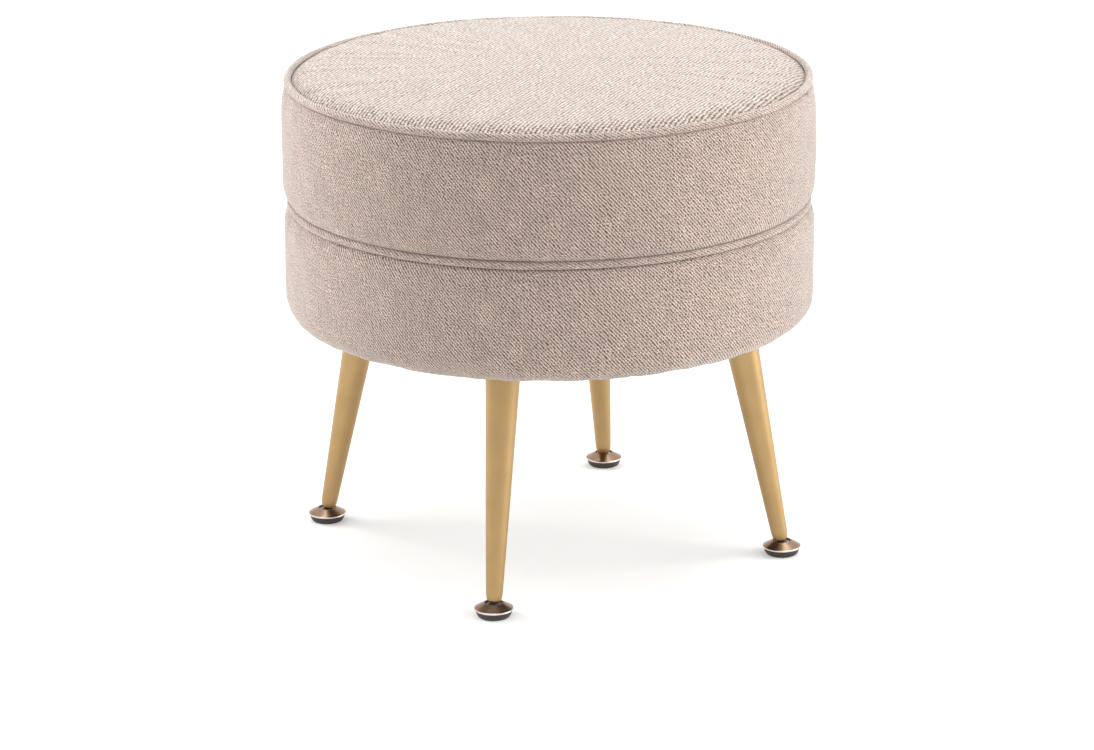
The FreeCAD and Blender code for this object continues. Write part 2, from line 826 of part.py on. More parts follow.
def make_leg(name, turn):
    """A tapered tube with a rounded lower end, bored for its insert and cut level at its top."""
    body = new_body(f"{name}_leg")
    slope = tangent(d.splay_angle)
    top = leg_length + 2 * d.leg_top_radius * slope
    nose = d.leg_start + d.leg_nose
    end = d.leg_start + d.insert_length
    bore = insert_radius + d.insert_gap
    corners = [
        (bore, d.leg_start),
        (bore + d.leg_lip, d.leg_start),
        (leg_radius(nose), nose),
        (leg_radius(top), top),
        (leg_radius(top) - d.leg_wall, top),
        (leg_radius(end) - d.leg_wall, end),
        (bore, end),
    ]
    revolve(body, "tube", closed_sketch(body, "wall_section", "XZ_Plane", corners, {1: "next"}))
    far = 3 * d.leg_top_radius
    above = [
        (-far, leg_length + far * slope),
        (far, leg_length - far * slope),
        (far, leg_length + far),
        (-far, leg_length + far),
    ]
    before = body.Shape.Volume
    cut = body.newObject("PartDesign::Pocket", "level_top")
    cut.Profile = closed_sketch(body, "level_section", "XZ_Plane", above)
    cut.Midplane = True
    cut.setExpression("Length", (2 * far).formula)
    doc.recompute()
    if body.Shape.Volume >= before:
        raise RuntimeError(f"{body.Label}: the level cut removes nothing")
    stand_on_leg(body, turn)
    keep(body)


def make_leg_insert(name, turn):
    """The bored plug in the leg's lower end that takes the foot's thread."""
    body = new_body(f"{name}_leg_insert")
    end = d.leg_start + d.insert_length
    corners = [
        (insert_bore, d.leg_start),
        (insert_radius, d.leg_start),
        (insert_radius, end),
        (insert_bore, end),
    ]
    revolve(body, "plug", closed_sketch(body, "plug_section", "XZ_Plane", corners))
    stand_on_leg(body, turn)
    keep(body)


def make_leg_plate(name, turn):
    """The square steel plate on top of a leg, with rounded corners and four screw holes."""
    body = new_body(f"{name}_leg_plate")
    half = d.plate_side / 2
    edge = [(-plate_straight, half), (plate_straight, half), (half, plate_straight), (half, -plate_straight)]
    edge += [(-x, -y) for x, y in edge]
    corners = [(plate_circle + x, y) for x, y in edge]
    arcs = {i: (d.plate_corner, 1) for i in (1, 3, 5, 7)}
    pad(body, "slab", closed_sketch(body, "slab_plan", "XY_Plane", corners, arcs), d.plate_thickness)
    pocket_up(body, "holes", circle_sketch(body, "hole_plan", plate_holes(d.plate_hole)), d.plate_thickness)
    stand_at(body, turn, level=plate_level)
    keep(body)


# Levelling feet

cap_base = ball_level - d.cap_drop
cone_start = cap_base + d.cap_rim
cap_top = ball_level + d.cap_rise
cap_inside = d.cap_radius - d.cap_wall
cone_slope = (cap_top - cone_start) / (d.cap_radius - d.cap_top_radius)
cone_wall = d.cap_wall * root(1 + cone_slope * cone_slope)
socket_radius = ball_hollow + d.socket_wall


def under_cone(radius):
    """Height of the cap's inner cone at a radius."""
    return cap_top - (radius - d.cap_top_radius) * cone_slope - cone_wall


def make_foot_stem(name, turn):
    """The threaded stem with the ball on its lower end."""
    body = new_body(f"{name}_foot_stem")
    neck = d.ball_radius - d.neck_step
    neck_start = root(d.ball_radius * d.ball_radius - neck * neck)
    end = d.leg_start + d.stem_bite
    corners = [
        (0, -d.ball_radius),
        (d.ball_radius, 0),
        (neck, neck_start),
        (neck, d.ball_radius),
        (d.stem_radius, d.ball_radius + d.stem_chamfer),
        (d.stem_radius, end - d.stem_chamfer),
        (d.stem_radius - d.stem_chamfer, end),
        (0, end),
    ]
    arcs = {0: (d.ball_radius, -1), 1: (d.ball_radius, -1)}
    revolve(body, "stem", closed_sketch(body, "stem_section", "XZ_Plane", corners, arcs))
    stand_on_leg(body, turn)
    keep(body)


def make_foot_socket(name, turn):
    """The plastic cup that is snapped over the ball."""
    body = new_body(f"{name}_foot_socket")
    floor = d.pad_floor + d.joint_gap
    top = ball_level + d.socket_rise
    mouth = root(ball_hollow * ball_hollow - d.socket_rise * d.socket_rise)
    corners = [
        (0, floor),
        (socket_radius, floor),
        (socket_radius, top),
        (mouth, top),
        (ball_hollow, ball_level),
        (0, floor + d.socket_base),
    ]
    arcs = {3: (ball_hollow, 1), 4: (ball_hollow, 1)}
    revolve(body, "cup", closed_sketch(body, "cup_section", "XZ_Plane", corners, arcs))
    stand_at(body, turn, foot_circle)
    keep(body)


def make_foot_cap(name, turn):
    """The conical metal cap of a foot, with its upright rim and the hole for the stem."""
    body = new_body(f"{name}_foot_cap")
    opening = d.cap_top_radius - d.cap_lip
    corners = [
        (cap_inside, cap_base),
        (d.cap_radius, cap_base),
        (d.cap_radius, cone_start),
        (d.cap_top_radius, cap_top),
        (opening, cap_top),
        (opening, under_cone(opening)),
        (cap_inside, under_cone(cap_inside)),
    ]
    revolve(body, "cap", closed_sketch(body, "cap_section", "XZ_Plane", corners))
    stand_at(body, turn, foot_circle)
    keep(body)


def make_foot_pad(name, turn):
    """The black base under the cap, hollowed for the socket."""
    body = new_body(f"{name}_foot_pad")
    hollow = socket_radius + d.joint_gap
    inside = cap_inside - d.pad_gap
    ledge = cap_base - d.pad_gap
    foot = d.cap_radius - d.pad_foot_inset
    corners = [
        (0, 0),
        (foot - d.pad_chamfer, 0),
        (foot, d.pad_chamfer),
        (d.cap_radius - d.pad_shoulder_inset, ledge),
        (inside, ledge),
        (inside, under_cone(inside) - d.pad_gap),
        (hollow, under_cone(hollow) - d.pad_gap),
        (hollow, d.pad_floor),
        (0, d.pad_floor),
    ]
    revolve(body, "pad", closed_sketch(body, "pad_section", "XZ_Plane", corners))
    stand_at(body, turn, foot_circle)
    keep(body)


# Build, check and write

make_top_cover()
make_welt("top_welt", top_seam_radius, top_seam_level)
make_upper_band()
make_welt("waist_welt", waist_seam_radius, waist_level)
make_lower_band()
make_seat_foam()
make_upper_wrap()
make_lower_wrap()
make_frame()
make_frame_screws()
make_dust_cover()
make_staples()
make_plate_screws()
for leg_name, leg_turn in LEGS:
    make_leg_plate(leg_name, leg_turn)
    make_leg(leg_name, leg_turn)
    make_leg_insert(leg_name, leg_turn)
    make_foot_stem(leg_name, leg_turn)
    make_foot_socket(leg_name, leg_turn)
    make_foot_cap(leg_name, leg_turn)
    make_foot_pad(leg_name, leg_turn)
doc.recompute()

for item in doc.Objects:
    if "Invalid" in item.State or "Error" in item.State:
        raise RuntimeError(f"{item.Label} failed: {item.State}")
for item in subparts:
    if item.Shape.isNull() or not item.Shape.isValid():
        raise RuntimeError(f"{item.Label} has no valid shape")

os.makedirs("parts", exist_ok=True)
for item in subparts:
    item.Shape.exportStep(f"parts/{item.Label}.step")
    print(f"{item.Label}: {len(item.Shape.Solids)} solids, {item.Shape.Volume / 1000:.2f} cm3")
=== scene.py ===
"""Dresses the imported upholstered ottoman: cover, piping, legs, levelling feet and a plain studio.

The file is laid out as an add-on and run as a script. Metres, +Z up, in the frame of the solids.
"""

import json
from math import atan2, cos, pi, radians, sin, sqrt

import bpy
import numpy as np
from bpy.props import FloatProperty, FloatVectorProperty, IntProperty, PointerProperty
from mathutils import Matrix, Vector


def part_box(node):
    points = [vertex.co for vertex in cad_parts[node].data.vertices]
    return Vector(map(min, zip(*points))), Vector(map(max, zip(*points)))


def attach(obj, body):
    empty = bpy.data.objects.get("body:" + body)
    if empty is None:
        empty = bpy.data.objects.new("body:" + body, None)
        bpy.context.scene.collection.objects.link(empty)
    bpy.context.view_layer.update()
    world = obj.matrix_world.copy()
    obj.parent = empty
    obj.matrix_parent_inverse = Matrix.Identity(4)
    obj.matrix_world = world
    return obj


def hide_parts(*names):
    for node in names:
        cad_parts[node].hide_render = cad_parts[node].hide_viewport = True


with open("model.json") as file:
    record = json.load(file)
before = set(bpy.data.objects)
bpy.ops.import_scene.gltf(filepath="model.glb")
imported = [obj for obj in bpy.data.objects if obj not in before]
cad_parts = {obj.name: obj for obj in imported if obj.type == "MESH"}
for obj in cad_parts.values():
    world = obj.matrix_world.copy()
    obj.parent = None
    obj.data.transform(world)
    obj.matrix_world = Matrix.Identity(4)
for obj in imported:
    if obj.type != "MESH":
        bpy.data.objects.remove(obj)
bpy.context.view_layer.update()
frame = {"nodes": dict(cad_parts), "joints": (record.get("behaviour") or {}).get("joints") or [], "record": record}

bl_info = {
    "name": "Upholstered ottoman",
    "version": (1, 0, 0),
    "blender": (4, 5, 0),
    "location": "View3D > Sidebar > Ottoman",
    "description": "Dresses the packed ottoman with its cover, piping, legs, feet and stage",
    "category": "Object",
}

MM = 0.001
TINY = 1e-9
LEGS = ("front", "right", "back", "left")
JOINTS = {joint["name"]: joint for joint in frame["joints"]}
BACK = pi / 2

# Where cloth and foam meet the piping, the boards and each other
TOP_MEET = 1.5 * MM
WAIST_MEET = 0.7 * MM
SEAM_GAP = 0.2 * MM
BOARD_GAP = 0.3 * MM
HEM_GAP = 0.05 * MM
FOAM_STEP = 7.5 * MM
EDGE_MARGIN = 2 * MM

# Swelling of the padded cloth
PADDING_PRESSURE = 4.0
SETTLE_FRAMES = 20
UNEVEN_WAVES = 30
UNEVEN_HEIGHT = 0.04 * MM
RING_WIDTH = 0.4 * MM


def linear(code):
    """Linear colour of an sRGB hex value."""
    parts = [int(code[i:i + 2], 16) / 255 for i in (1, 3, 5)]
    return tuple(p / 12.92 if p <= 0.04045 else ((p + 0.055) / 1.055) ** 2.4 for p in parts)


def span(node):
    """Lowest level, highest level and reach along +X of a solid."""
    low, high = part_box(node)
    return low.z, high.z, high.x


def bore(node):
    """Smallest radius of a solid."""
    return min(v.co.xy.length for v in frame["nodes"][node].data.vertices)


WELT_LOW, WELT_HIGH, WELT_REACH = span("top_welt")
WAIST_LOW, WAIST_HIGH, WAIST_REACH = span("waist_welt")
_, UPPER_HIGH, DRUM_RADIUS = span("upper_band")
LOWER_LOW, _, LOWER_RADIUS = span("lower_band")
PANEL_LOW, SEAT_HEIGHT, PANEL_RADIUS = span("top_cover")
_, DECK_TOP, BOARD_RADIUS = span("seat_deck")
LINING_LOW, _, LINING_RADIUS = span("dust_cover")
BOARD_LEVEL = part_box("base_board")[0].z
HEM_RADIUS = bore("lower_band")
FOAM_BORE = bore("upper_foam_wrap")

WELT_RADIUS = (WELT_HIGH - WELT_LOW) / 2
TOP_SEAM = Vector((WELT_REACH - WELT_RADIUS, (WELT_HIGH + WELT_LOW) / 2))
WAIST_SEAM = Vector((WAIST_REACH - WELT_RADIUS, (WAIST_HIGH + WAIST_LOW) / 2))


def length(label, note, value):
    return FloatProperty(name=label, description=note, default=value, unit="LENGTH", precision=5)


def colour(label, note, code):
    return FloatVectorProperty(
        name=label, description=note, default=linear(code), min=0.0, max=1.0, subtype="COLOR")


class OttomanSizes(bpy.types.PropertyGroup):
    """Sizes of the dressed pieces."""

    cloth: length("Cloth", "Thickness of the cover cloth", 1.2 * MM)
    crown_fall: length("Crown fall", "Fall of the seat from its middle to its shoulder", 4.0 * MM)
    shoulder: length("Shoulder", "Width of the seat's turned-down edge", 20.0 * MM)
    belly: length("Belly", "Swell of the upper band between its rolls", 0.5 * MM)
    top_roll: length("Top roll", "Height of the upper band's roll under the piping", 21.8 * MM)
    waist_roll: length("Waist roll", "Height of the rolls beside the waist piping", 16.0 * MM)
    bottom_curve: length("Bottom curve", "Radius of the lower band's bottom edge", 20.0 * MM)
    pucker: length("Pucker", "Most that the cloth may lift or sink beside its seams", 0.4 * MM)
    seam_dent: length("Seam dent", "Depth of the closing seams at the back", 1.3 * MM)
    thread_row: length("Thread row", "Width of one thread on the cloth's face", 1.05 * MM)
    thread_float: length("Thread float", "Length of one thread on the cloth's face", 2.2 * MM)
    leg_start: length("Leg start", "Leg's lower end along its axis from the ball joint", 5.6 * MM)
    leg_bottom: length("Leg bottom", "Leg's taper carried down to its lower end", 6.7 * MM)
    leg_lip: length("Leg lip", "Radius of the leg's lower edge", 5.8 * MM)
    leg_bore: length("Leg bore", "Radius of the bore round the leg's insert", 5.05 * MM)
    insert_length: length("Insert length", "Length of that bore", 24.0 * MM)
    leg_top: length("Leg top", "Leg's radius at its plate", 14.7 * MM)
    leg_wall: length("Leg wall", "Wall of the leg tube", 1.2 * MM)
    leg_nose: length("Leg nose", "Height of the leg's rounded lower end", 7.8 * MM)
    thread_radius: length("Stem thread", "Outer radius of the foot's thread", 3.95 * MM)
    thread_pitch: length("Thread pitch", "Pitch of the foot's thread", 1.25 * MM)
    cap_radius: length("Cap radius", "Rim of a foot's cap", 16.4 * MM)
    steps_round: IntProperty(name="Steps round", description="Steps round the drum", default=360, min=90)


class OttomanColours(bpy.types.PropertyGroup):
    """Colours of the ottoman's materials."""

    # Cover tones: thread colour with painted light on each thread's middle, then its flank, then painted shade
    # between threads.
    thread_light: colour("Light thread", "Lightest threads of the cover", "#F0DED3")
    thread_mid: colour("Mid thread", "Darker threads of the cover", "#C1ABA0")
    thread_gap: colour("Gap", "Shade between the cover's threads", "#453229")
    gold: colour("Satin gold", "Legs", "#AE9065")
    bronze: colour("Polished bronze", "Caps of the feet", "#A0826B")
    # Rim colour: a painted highlight on the caps' rims.
    rim_highlight: colour("Bright rim", "Rims of the caps", "#E9DCD2")
    # The feet's stems are drawn in a dark steel colour.
    dark_steel: colour("Burnished steel", "Stems of the feet", "#4E4640")
    rubber: colour("Black rubber", "Pads of the feet", "#352F2E")
    lining: colour("Lining", "Dust cover", "#19191A")
    steel: colour("Zinc steel", "Screws, staples and inserts", "#C6C8CB")
    plate: colour("Black steel", "Leg plates", "#161617")
    plywood: colour("Plywood", "Boards of the frame", "#C9A877")
    pine: colour("Pine", "Posts of the frame", "#D3B483")
    hardboard: colour("Hardboard", "Skins of the frame", "#6E5138")
    nylon: colour("Nylon", "Ball sockets", "#DDD9CE")
    floor: colour("Floor", "Studio floor", "#F2F1F0")


def get_sizes():
    return bpy.context.scene.ottoman_sizes


def get_colours():
    return bpy.context.scene.ottoman_colours


def set_all(target, **values):
    """Sets several properties of one thing."""
    for name, value in values.items():
        setattr(target, name, value)


# Materials

def add_node(tree, kind, links=None, values=None, **settings):
    """Adds a node with its settings, socket values and incoming links."""
    node = tree.nodes.new("ShaderNode" + kind)
    set_all(node, **settings)
    for name, value in (values or {}).items():
        node.inputs[name].default_value = value
    for name, source in (links or {}).items():
        tree.links.new(source, node.inputs[name])
    return node


def rgba(colour_value):
    return tuple(colour_value) + (1.0,)


def new_material(name, **sockets):
    """An empty material with a principled shader, whose constant sockets are set."""
    material = bpy.data.materials.new(name)
    material.use_nodes = True
    tree = material.node_tree
    shader = tree.nodes["Principled BSDF"]
    for socket, value in sockets.items():
        shader.inputs[socket.replace("_", " ")].default_value = value
    return material, tree, shader


def ranged(tree, value, low, high, least, most):
    """A value that runs from low to high, mapped to run from least to most."""
    return add_node(
        tree, "MapRange", {"Value": value},
        {"From Min": low, "From Max": high, "To Min": least, "To Max": most}).outputs[0]


def tinted(tree, tone, gain):
    """A tone, which is a colour or a node's output, scaled by a gain."""
    linked = isinstance(tone, bpy.types.NodeSocket)
    links = {0: tone, "Scale": gain} if linked else {"Scale": gain}
    values = {} if linked else {0: tuple(tone)}
    return add_node(tree, "VectorMath", links, values, operation="SCALE").outputs[0]


def streaks(tree, metres, across, along, **values):
    """Noise on a map in metres, drawn out into streaks of a width and a length."""
    laid = add_node(tree, "Mapping", {"Vector": metres}, {"Scale": (1 / across, 1 / along, 1.0)})
    values = {"Scale": 1.0, **values}
    return add_node(tree, "TexNoise", {"Vector": laid.outputs[0]}, values).outputs["Fac"]


def speckle(tree, grain, **values):
    """Noise through the piece's own space, with grains of about one size."""
    place = add_node(tree, "TexCoord").outputs["Object"]
    values = {"Scale": 1 / grain, **values}
    return add_node(tree, "TexNoise", {"Vector": place}, values).outputs["Fac"]


def emboss(tree, shader, height, strength, depth):
    """Gives a material the relief of a height."""
    bump = add_node(tree, "Bump", {"Height": height}, {"Strength": strength, "Distance": depth})
    tree.links.new(bump.outputs[0], shader.inputs["Normal"])


def cover_cloth(name, turn, coarse=1.0, pit_shade_and_tone=1.0):
    """Woven polyester upholstery: slanted raised threads of uneven tone, and slubs.

    Each thread has painted light on its middle and painted shade towards its edge, with painted shade in the
    gaps between threads. It is matt with an edge sheen. The real threads are about half as wide; they are
    drawn this coarse so that they show in the render.
    """
    sizes = get_sizes()
    colours = get_colours()
    row = sizes.thread_row * coarse
    float_length = sizes.thread_float * coarse
    material, tree, shader = new_material(
        name, Roughness=0.92, Sheen_Weight=0.55, Sheen_Roughness=0.45, Specular_IOR_Level=0.15,
        Sheen_Tint=(1.0, 0.985, 0.97, 1.0))
    metres = add_node(tree, "UVMap", uv_map="cloth").outputs["UV"]
    slanted = add_node(tree, "Mapping", {"Vector": metres}, {"Rotation": (0, 0, turn)})
    laid = add_node(
        tree, "Mapping", {"Vector": slanted.outputs[0]},
        {"Scale": (1 / float_length, 1 / row, 1.0)})
    threads = add_node(
        tree, "TexVoronoi", {"Vector": laid.outputs[0]}, {"Scale": 1.0, "Randomness": 0.33},
        voronoi_dimensions="2D")
    from_middle = threads.outputs["Distance"]
    dye = threads.outputs["Color"]
    tones = add_node(tree, "ValToRGB", {"Fac": from_middle})
    # Painted light on each thread's middle, darker to its edge, and painted shade in the gaps between threads.
    stops = tones.color_ramp.elements
    shadow = tuple(m + (g - m) * pit_shade_and_tone for m, g in zip(colours.thread_mid, colours.thread_gap))
    stops[0].position = 0.12
    stops[0].color = rgba(colours.thread_light)
    stops[1].position = 0.54
    stops[1].color = rgba(shadow)
    stops.new(0.36).color = rgba(colours.thread_mid)
    uneven = ranged(tree, dye, 0.0, 1.0, 1.0 - 0.22 * pit_shade_and_tone, 1.0 + 0.18 * pit_shade_and_tone)
    shade = tinted(tree, tones.outputs["Color"], uneven)
    slubs = ((2.0 * MM, 26 * MM, 0.10), (24 * MM, 1.8 * MM, 0.10), (26 * MM, 26 * MM, 0.035))
    for across, along, depth in slubs:
        slub = streaks(tree, metres, across, along, Detail=1.0)
        shade = tinted(tree, shade, ranged(tree, slub, 0.3, 0.7, 1.0 - depth, 1.0 + depth))
    tree.links.new(shade, shader.inputs["Base Color"])
    relief = add_node(tree, "Math", {0: dye, 1: from_middle}, operation="SUBTRACT")
    emboss(tree, shader, relief.outputs[0], 1.0, 0.28 * row)
    return material


def satin_gold():
    """Brass-plated steel, brushed along the leg and lacquered: a soft gold glow with fine lengthwise lines.

    The brush lines are drawn coarser than real ones so that they show.
    """
    material, tree, shader = new_material("satin_gold_plate", Metallic=1.0)
    metres = add_node(tree, "UVMap", uv_map="turned").outputs["UV"]
    lines = streaks(tree, metres, 0.5 * MM, 45 * MM, Detail=3.0, Roughness=0.65)
    cloud = streaks(tree, metres, 22 * MM, 22 * MM, Detail=2.0)
    blend = add_node(tree, "Math", {0: lines, 1: cloud}, operation="ADD")
    tint = ranged(tree, blend.outputs[0], 0.6, 1.4, 0.90, 1.06)
    tree.links.new(tinted(tree, get_colours().gold, tint), shader.inputs["Base Color"])
    tree.links.new(ranged(tree, lines, 0.25, 0.75, 0.34, 0.48), shader.inputs["Roughness"])
    emboss(tree, shader, lines, 0.25, 0.05 * MM)
    return material


def polished_bronze():
    """Bronze-plated zinc casting: dark polished cone, faint lathe rings, painted highlight on its rim."""
    colours = get_colours()
    material, tree, shader = new_material(
        "polished_bronze_plate", Metallic=1.0, Coat_Weight=0.3, Coat_Roughness=0.08)
    metres = add_node(tree, "UVMap", uv_map="turned").outputs["UV"]
    rings = streaks(tree, metres, 60 * MM, 0.35 * MM, Detail=2.0)
    toning = speckle(tree, 7 * MM, Detail=3.0)
    along = add_node(tree, "SeparateXYZ", {"Vector": metres}).outputs["Y"]
    # The rim is painted near white as a painted highlight.
    rim = ranged(tree, along, -2.9 * MM, -2.3 * MM, 0.0, 1.0)
    base = add_node(
        tree, "MixRGB", {"Fac": rim},
        {"Color1": rgba(colours.bronze), "Color2": rgba(colours.rim_highlight)})
    shade = tinted(tree, base.outputs["Color"], ranged(tree, toning, 0.3, 0.7, 0.85, 1.1))
    tree.links.new(shade, shader.inputs["Base Color"])
    tree.links.new(ranged(tree, rings, 0.3, 0.7, 0.26, 0.36), shader.inputs["Roughness"])
    return material


def grained(name, tone, grain, depth, smoothest, roughest, **sockets):
    """A moulded, cast or painted surface: one colour with an even grain in its tone, gloss and relief."""
    material, tree, shader = new_material(name, **sockets)
    grit = speckle(tree, grain, Detail=3.0, Roughness=0.6)
    tree.links.new(tinted(tree, tone, ranged(tree, grit, 0.3, 0.7, 0.82, 1.15)), shader.inputs["Base Color"])
    tree.links.new(ranged(tree, grit, 0.3, 0.7, smoothest, roughest), shader.inputs["Roughness"])
    emboss(tree, shader, grit, 0.5, depth)
    return material


def sawn_wood(name, tone, ring, stretch, contrast):
    """Unfinished timber or board: matt, with darker grain lines drawn out along the piece."""
    material, tree, shader = new_material(name, Roughness=0.75, Specular_IOR_Level=0.3)
    place = add_node(tree, "TexCoord").outputs["Object"]
    drawn = add_node(tree, "Mapping", {"Vector": place}, {"Scale": stretch})
    lines = add_node(
        tree, "TexNoise", {"Vector": drawn.outputs[0]},
        {"Scale": 1 / ring, "Detail": 4.0, "Roughness": 0.6, "Distortion": 0.4}).outputs["Fac"]
    tint = ranged(tree, lines, 0.3, 0.7, 1.0 - contrast, 1.0 + contrast / 2)
    tree.links.new(tinted(tree, tone, tint), shader.inputs["Base Color"])
    emboss(tree, shader, lines, 0.3, 0.2 * MM)
    return material


# Modelling

def select_only(obj):
    bpy.ops.object.select_all(action="DESELECT")
    bpy.context.view_layer.objects.active = obj
    obj.select_set(True)


def rename(obj, name):
    obj.name = name
    obj.data.name = name


def edit_all():
    """Opens the active piece's mesh with all of it selected."""
    bpy.ops.object.mode_set(mode="EDIT")
    bpy.ops.mesh.select_all(action="SELECT")


def close_outward():
    """Turns the open mesh's faces outward and closes it."""
    bpy.ops.mesh.select_all(action="SELECT")
    bpy.ops.mesh.normals_make_consistent(inside=False)
    bpy.ops.object.mode_set(mode="OBJECT")


def smooth_below(degrees):
    """Smooths the active piece over edges that bend less than this."""
    bpy.ops.object.shade_smooth_by_angle(angle=radians(degrees))


def coordinates(obj):
    """The mesh's points as an array."""
    found = np.zeros(len(obj.data.vertices) * 3)
    obj.data.vertices.foreach_get("co", found)
    return found.reshape(-1, 3)


def polar(points):
    """Angle and radius of each point about Z."""
    return np.arctan2(points[:, 1], points[:, 0]), np.hypot(points[:, 0], points[:, 1])


def move_points(obj, points):
    obj.data.vertices.foreach_set("co", np.ascontiguousarray(points, dtype=np.float32).ravel())
    obj.data.update()


def apply_modifier(obj, name):
    select_only(obj)
    bpy.ops.object.modifier_apply(modifier=name)


def subdivide(obj):
    smooth = obj.modifiers.new("smooth", "SUBSURF")
    set_all(smooth, levels=1, render_levels=1, uv_smooth="NONE", boundary_smooth="PRESERVE_CORNERS")
    apply_modifier(obj, smooth.name)


def arc(start, heading, end, count):
    """Points along the arc that leaves start along heading and reaches end, without its start."""
    start, heading, end = Vector(start), Vector(heading).normalized(), Vector(end)
    chord = end - start
    half = atan2(heading.x * chord.y - heading.y * chord.x, heading.dot(chord))
    found = []
    for i in range(1, count + 1):
        bend = half * i / count
        reach = chord.length * (sin(bend) / sin(half) if abs(half) > 1e-6 else i / count)
        turned_heading = Vector((
            heading.x * cos(bend) - heading.y * sin(bend),
            heading.x * sin(bend) + heading.y * cos(bend)))
        found.append(start + turned_heading * reach)
    return found


def places(*pairs):
    """(radius, level) pairs as points of a profile."""
    return [Vector(pair) for pair in pairs]


def line(start, end, count):
    """Points along a straight run, without its start."""
    return [Vector(start).lerp(Vector(end), i / count) for i in range(1, count + 1)]


def drawn_line(name, points):
    """A mesh of one line, left open with all of it selected: a point drawn out to each (radius, level)."""
    bpy.ops.mesh.primitive_plane_add(size=MM, location=(0, 0, 0))
    obj = bpy.context.object
    rename(obj, name)
    edit_all()
    bpy.ops.mesh.merge(type="CENTER")
    bpy.ops.mesh.select_all(action="SELECT")
    bpy.ops.transform.translate(value=(points[0][0], 0.0, points[0][1]))
    for before, after in zip(points, points[1:]):
        step = (after[0] - before[0], 0.0, after[1] - before[1])
        bpy.ops.mesh.extrude_region_move(TRANSFORM_OT_translate={"value": step})
    bpy.ops.mesh.select_all(action="SELECT")
    return obj


def turned(name, profile, steps, closed=False):
    """A piece turned about Z: a line along a profile of (radius, level), spun round."""
    obj = drawn_line(name, list(profile) + ([profile[0]] if closed else []))
    bpy.ops.mesh.spin(steps=steps, angle=2 * pi, center=(0, 0, 0), axis=(0, 0, 1), dupli=False)
    bpy.ops.mesh.select_all(action="SELECT")
    bpy.ops.mesh.remove_doubles(threshold=0.01 * MM)
    close_outward()
    bpy.ops.object.shade_smooth()
    return obj


def along_profile(points, profile, closed):
    """Distance along the profile of the place nearest to each (radius, level)."""
    corners = np.array([tuple(p) for p in profile] + ([tuple(profile[0])] if closed else []))
    starts, ends = corners[:-1], corners[1:]
    runs = np.linalg.norm(ends - starts, axis=1)
    before = np.concatenate([[0.0], np.cumsum(runs)[:-1]])
    best = np.full(len(points), np.inf)
    found = np.zeros(len(points))
    for a, b, run, travelled in zip(starts, ends, runs, before):
        part = np.clip(((points - a) @ (b - a)) / max(run * run, 1e-18), 0.0, 1.0)
        gap = np.linalg.norm(points - (a + part[:, None] * (b - a)), axis=1)
        nearer = gap < best - TINY
        best[nearer] = gap[nearer]
        found[nearer] = travelled + part[nearer] * run
    return found


def corner_points(mesh):
    """The point at each corner of the mesh's faces."""
    found = np.zeros(len(mesh.loops), dtype=np.int64)
    mesh.loops.foreach_get("vertex_index", found)
    return found


def lay_cloth(obj, profile, radius, closed=False, name="cloth", seam=BACK):
    """Unrolls a turned piece into a UV map in metres: round it from its seam, and along its profile."""
    mesh = obj.data
    points = coordinates(obj)
    angle, reach = polar(points)
    level = along_profile(np.c_[reach, points[:, 2]], profile, closed)
    layer = mesh.uv_layers.new(name=name)
    corners = corner_points(mesh)
    faces = np.repeat(np.arange(len(mesh.polygons)), [face.loop_total for face in mesh.polygons])
    turn = np.mod(angle - seam, 2 * pi)[corners]
    widest = np.zeros(len(mesh.polygons))
    np.maximum.at(widest, faces, turn)
    wraps = (widest[faces] > 1.5 * pi) & (turn < 0.5 * pi)
    turn = turn + wraps * 2 * pi
    layer.data.foreach_set("uv", np.c_[turn * radius, -level[corners]].ravel())


def lay_flat(obj):
    """A UV map in metres straight down onto the floor."""
    layer = obj.data.uv_layers.new(name="cloth")
    layer.data.foreach_set("uv", coordinates(obj)[corner_points(obj.data)][:, :2].ravel())


def dress(obj, material, body, slot, *nodes):
    """Gives a finished piece its material and its body, and hides the solids that it stands for.

    The slot is not used.
    """
    obj.data.materials.clear()
    obj.data.materials.append(material)
    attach(obj, body)
    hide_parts(*nodes)


def ripple(angle, seed, lowest, highest):
    """A smooth irregular wave round the drum, between -1 and 1, the same on every run."""
    draw = np.random.default_rng(seed)
    found = np.zeros_like(angle)
    for count in range(lowest, highest + 1):
        found += np.sin(count * angle + draw.uniform(0, 2 * pi)) * draw.uniform(0.4, 1.0)
    return found / max(TINY, np.abs(found).max())


def swell(obj, held):
    """Swells a padded piece's cloth under pressure, held at the given points."""
    group = obj.vertex_groups.new(name="seams")
    group.add([int(i) for i in np.flatnonzero(held)], 1.0, "REPLACE")
    cloth = obj.modifiers.new("padding", "CLOTH")
    set_all(
        cloth.settings, quality=6, mass=0.35, tension_stiffness=25.0, compression_stiffness=25.0,
        shear_stiffness=8.0, bending_stiffness=0.6, vertex_group_mass=group.name, shrink_min=-0.012,
        use_pressure=True, uniform_pressure_force=PADDING_PRESSURE)
    cloth.settings.effector_weights.gravity = 0.0
    cloth.collision_settings.use_collision = False
    set_all(cloth.point_cache, frame_start=1, frame_end=SETTLE_FRAMES)
    for number in range(1, SETTLE_FRAMES + 1):
        bpy.context.scene.frame_set(number)
    apply_modifier(obj, cloth.name)
    bpy.context.scene.frame_set(1)
    obj.vertex_groups.remove(obj.vertex_groups["seams"])


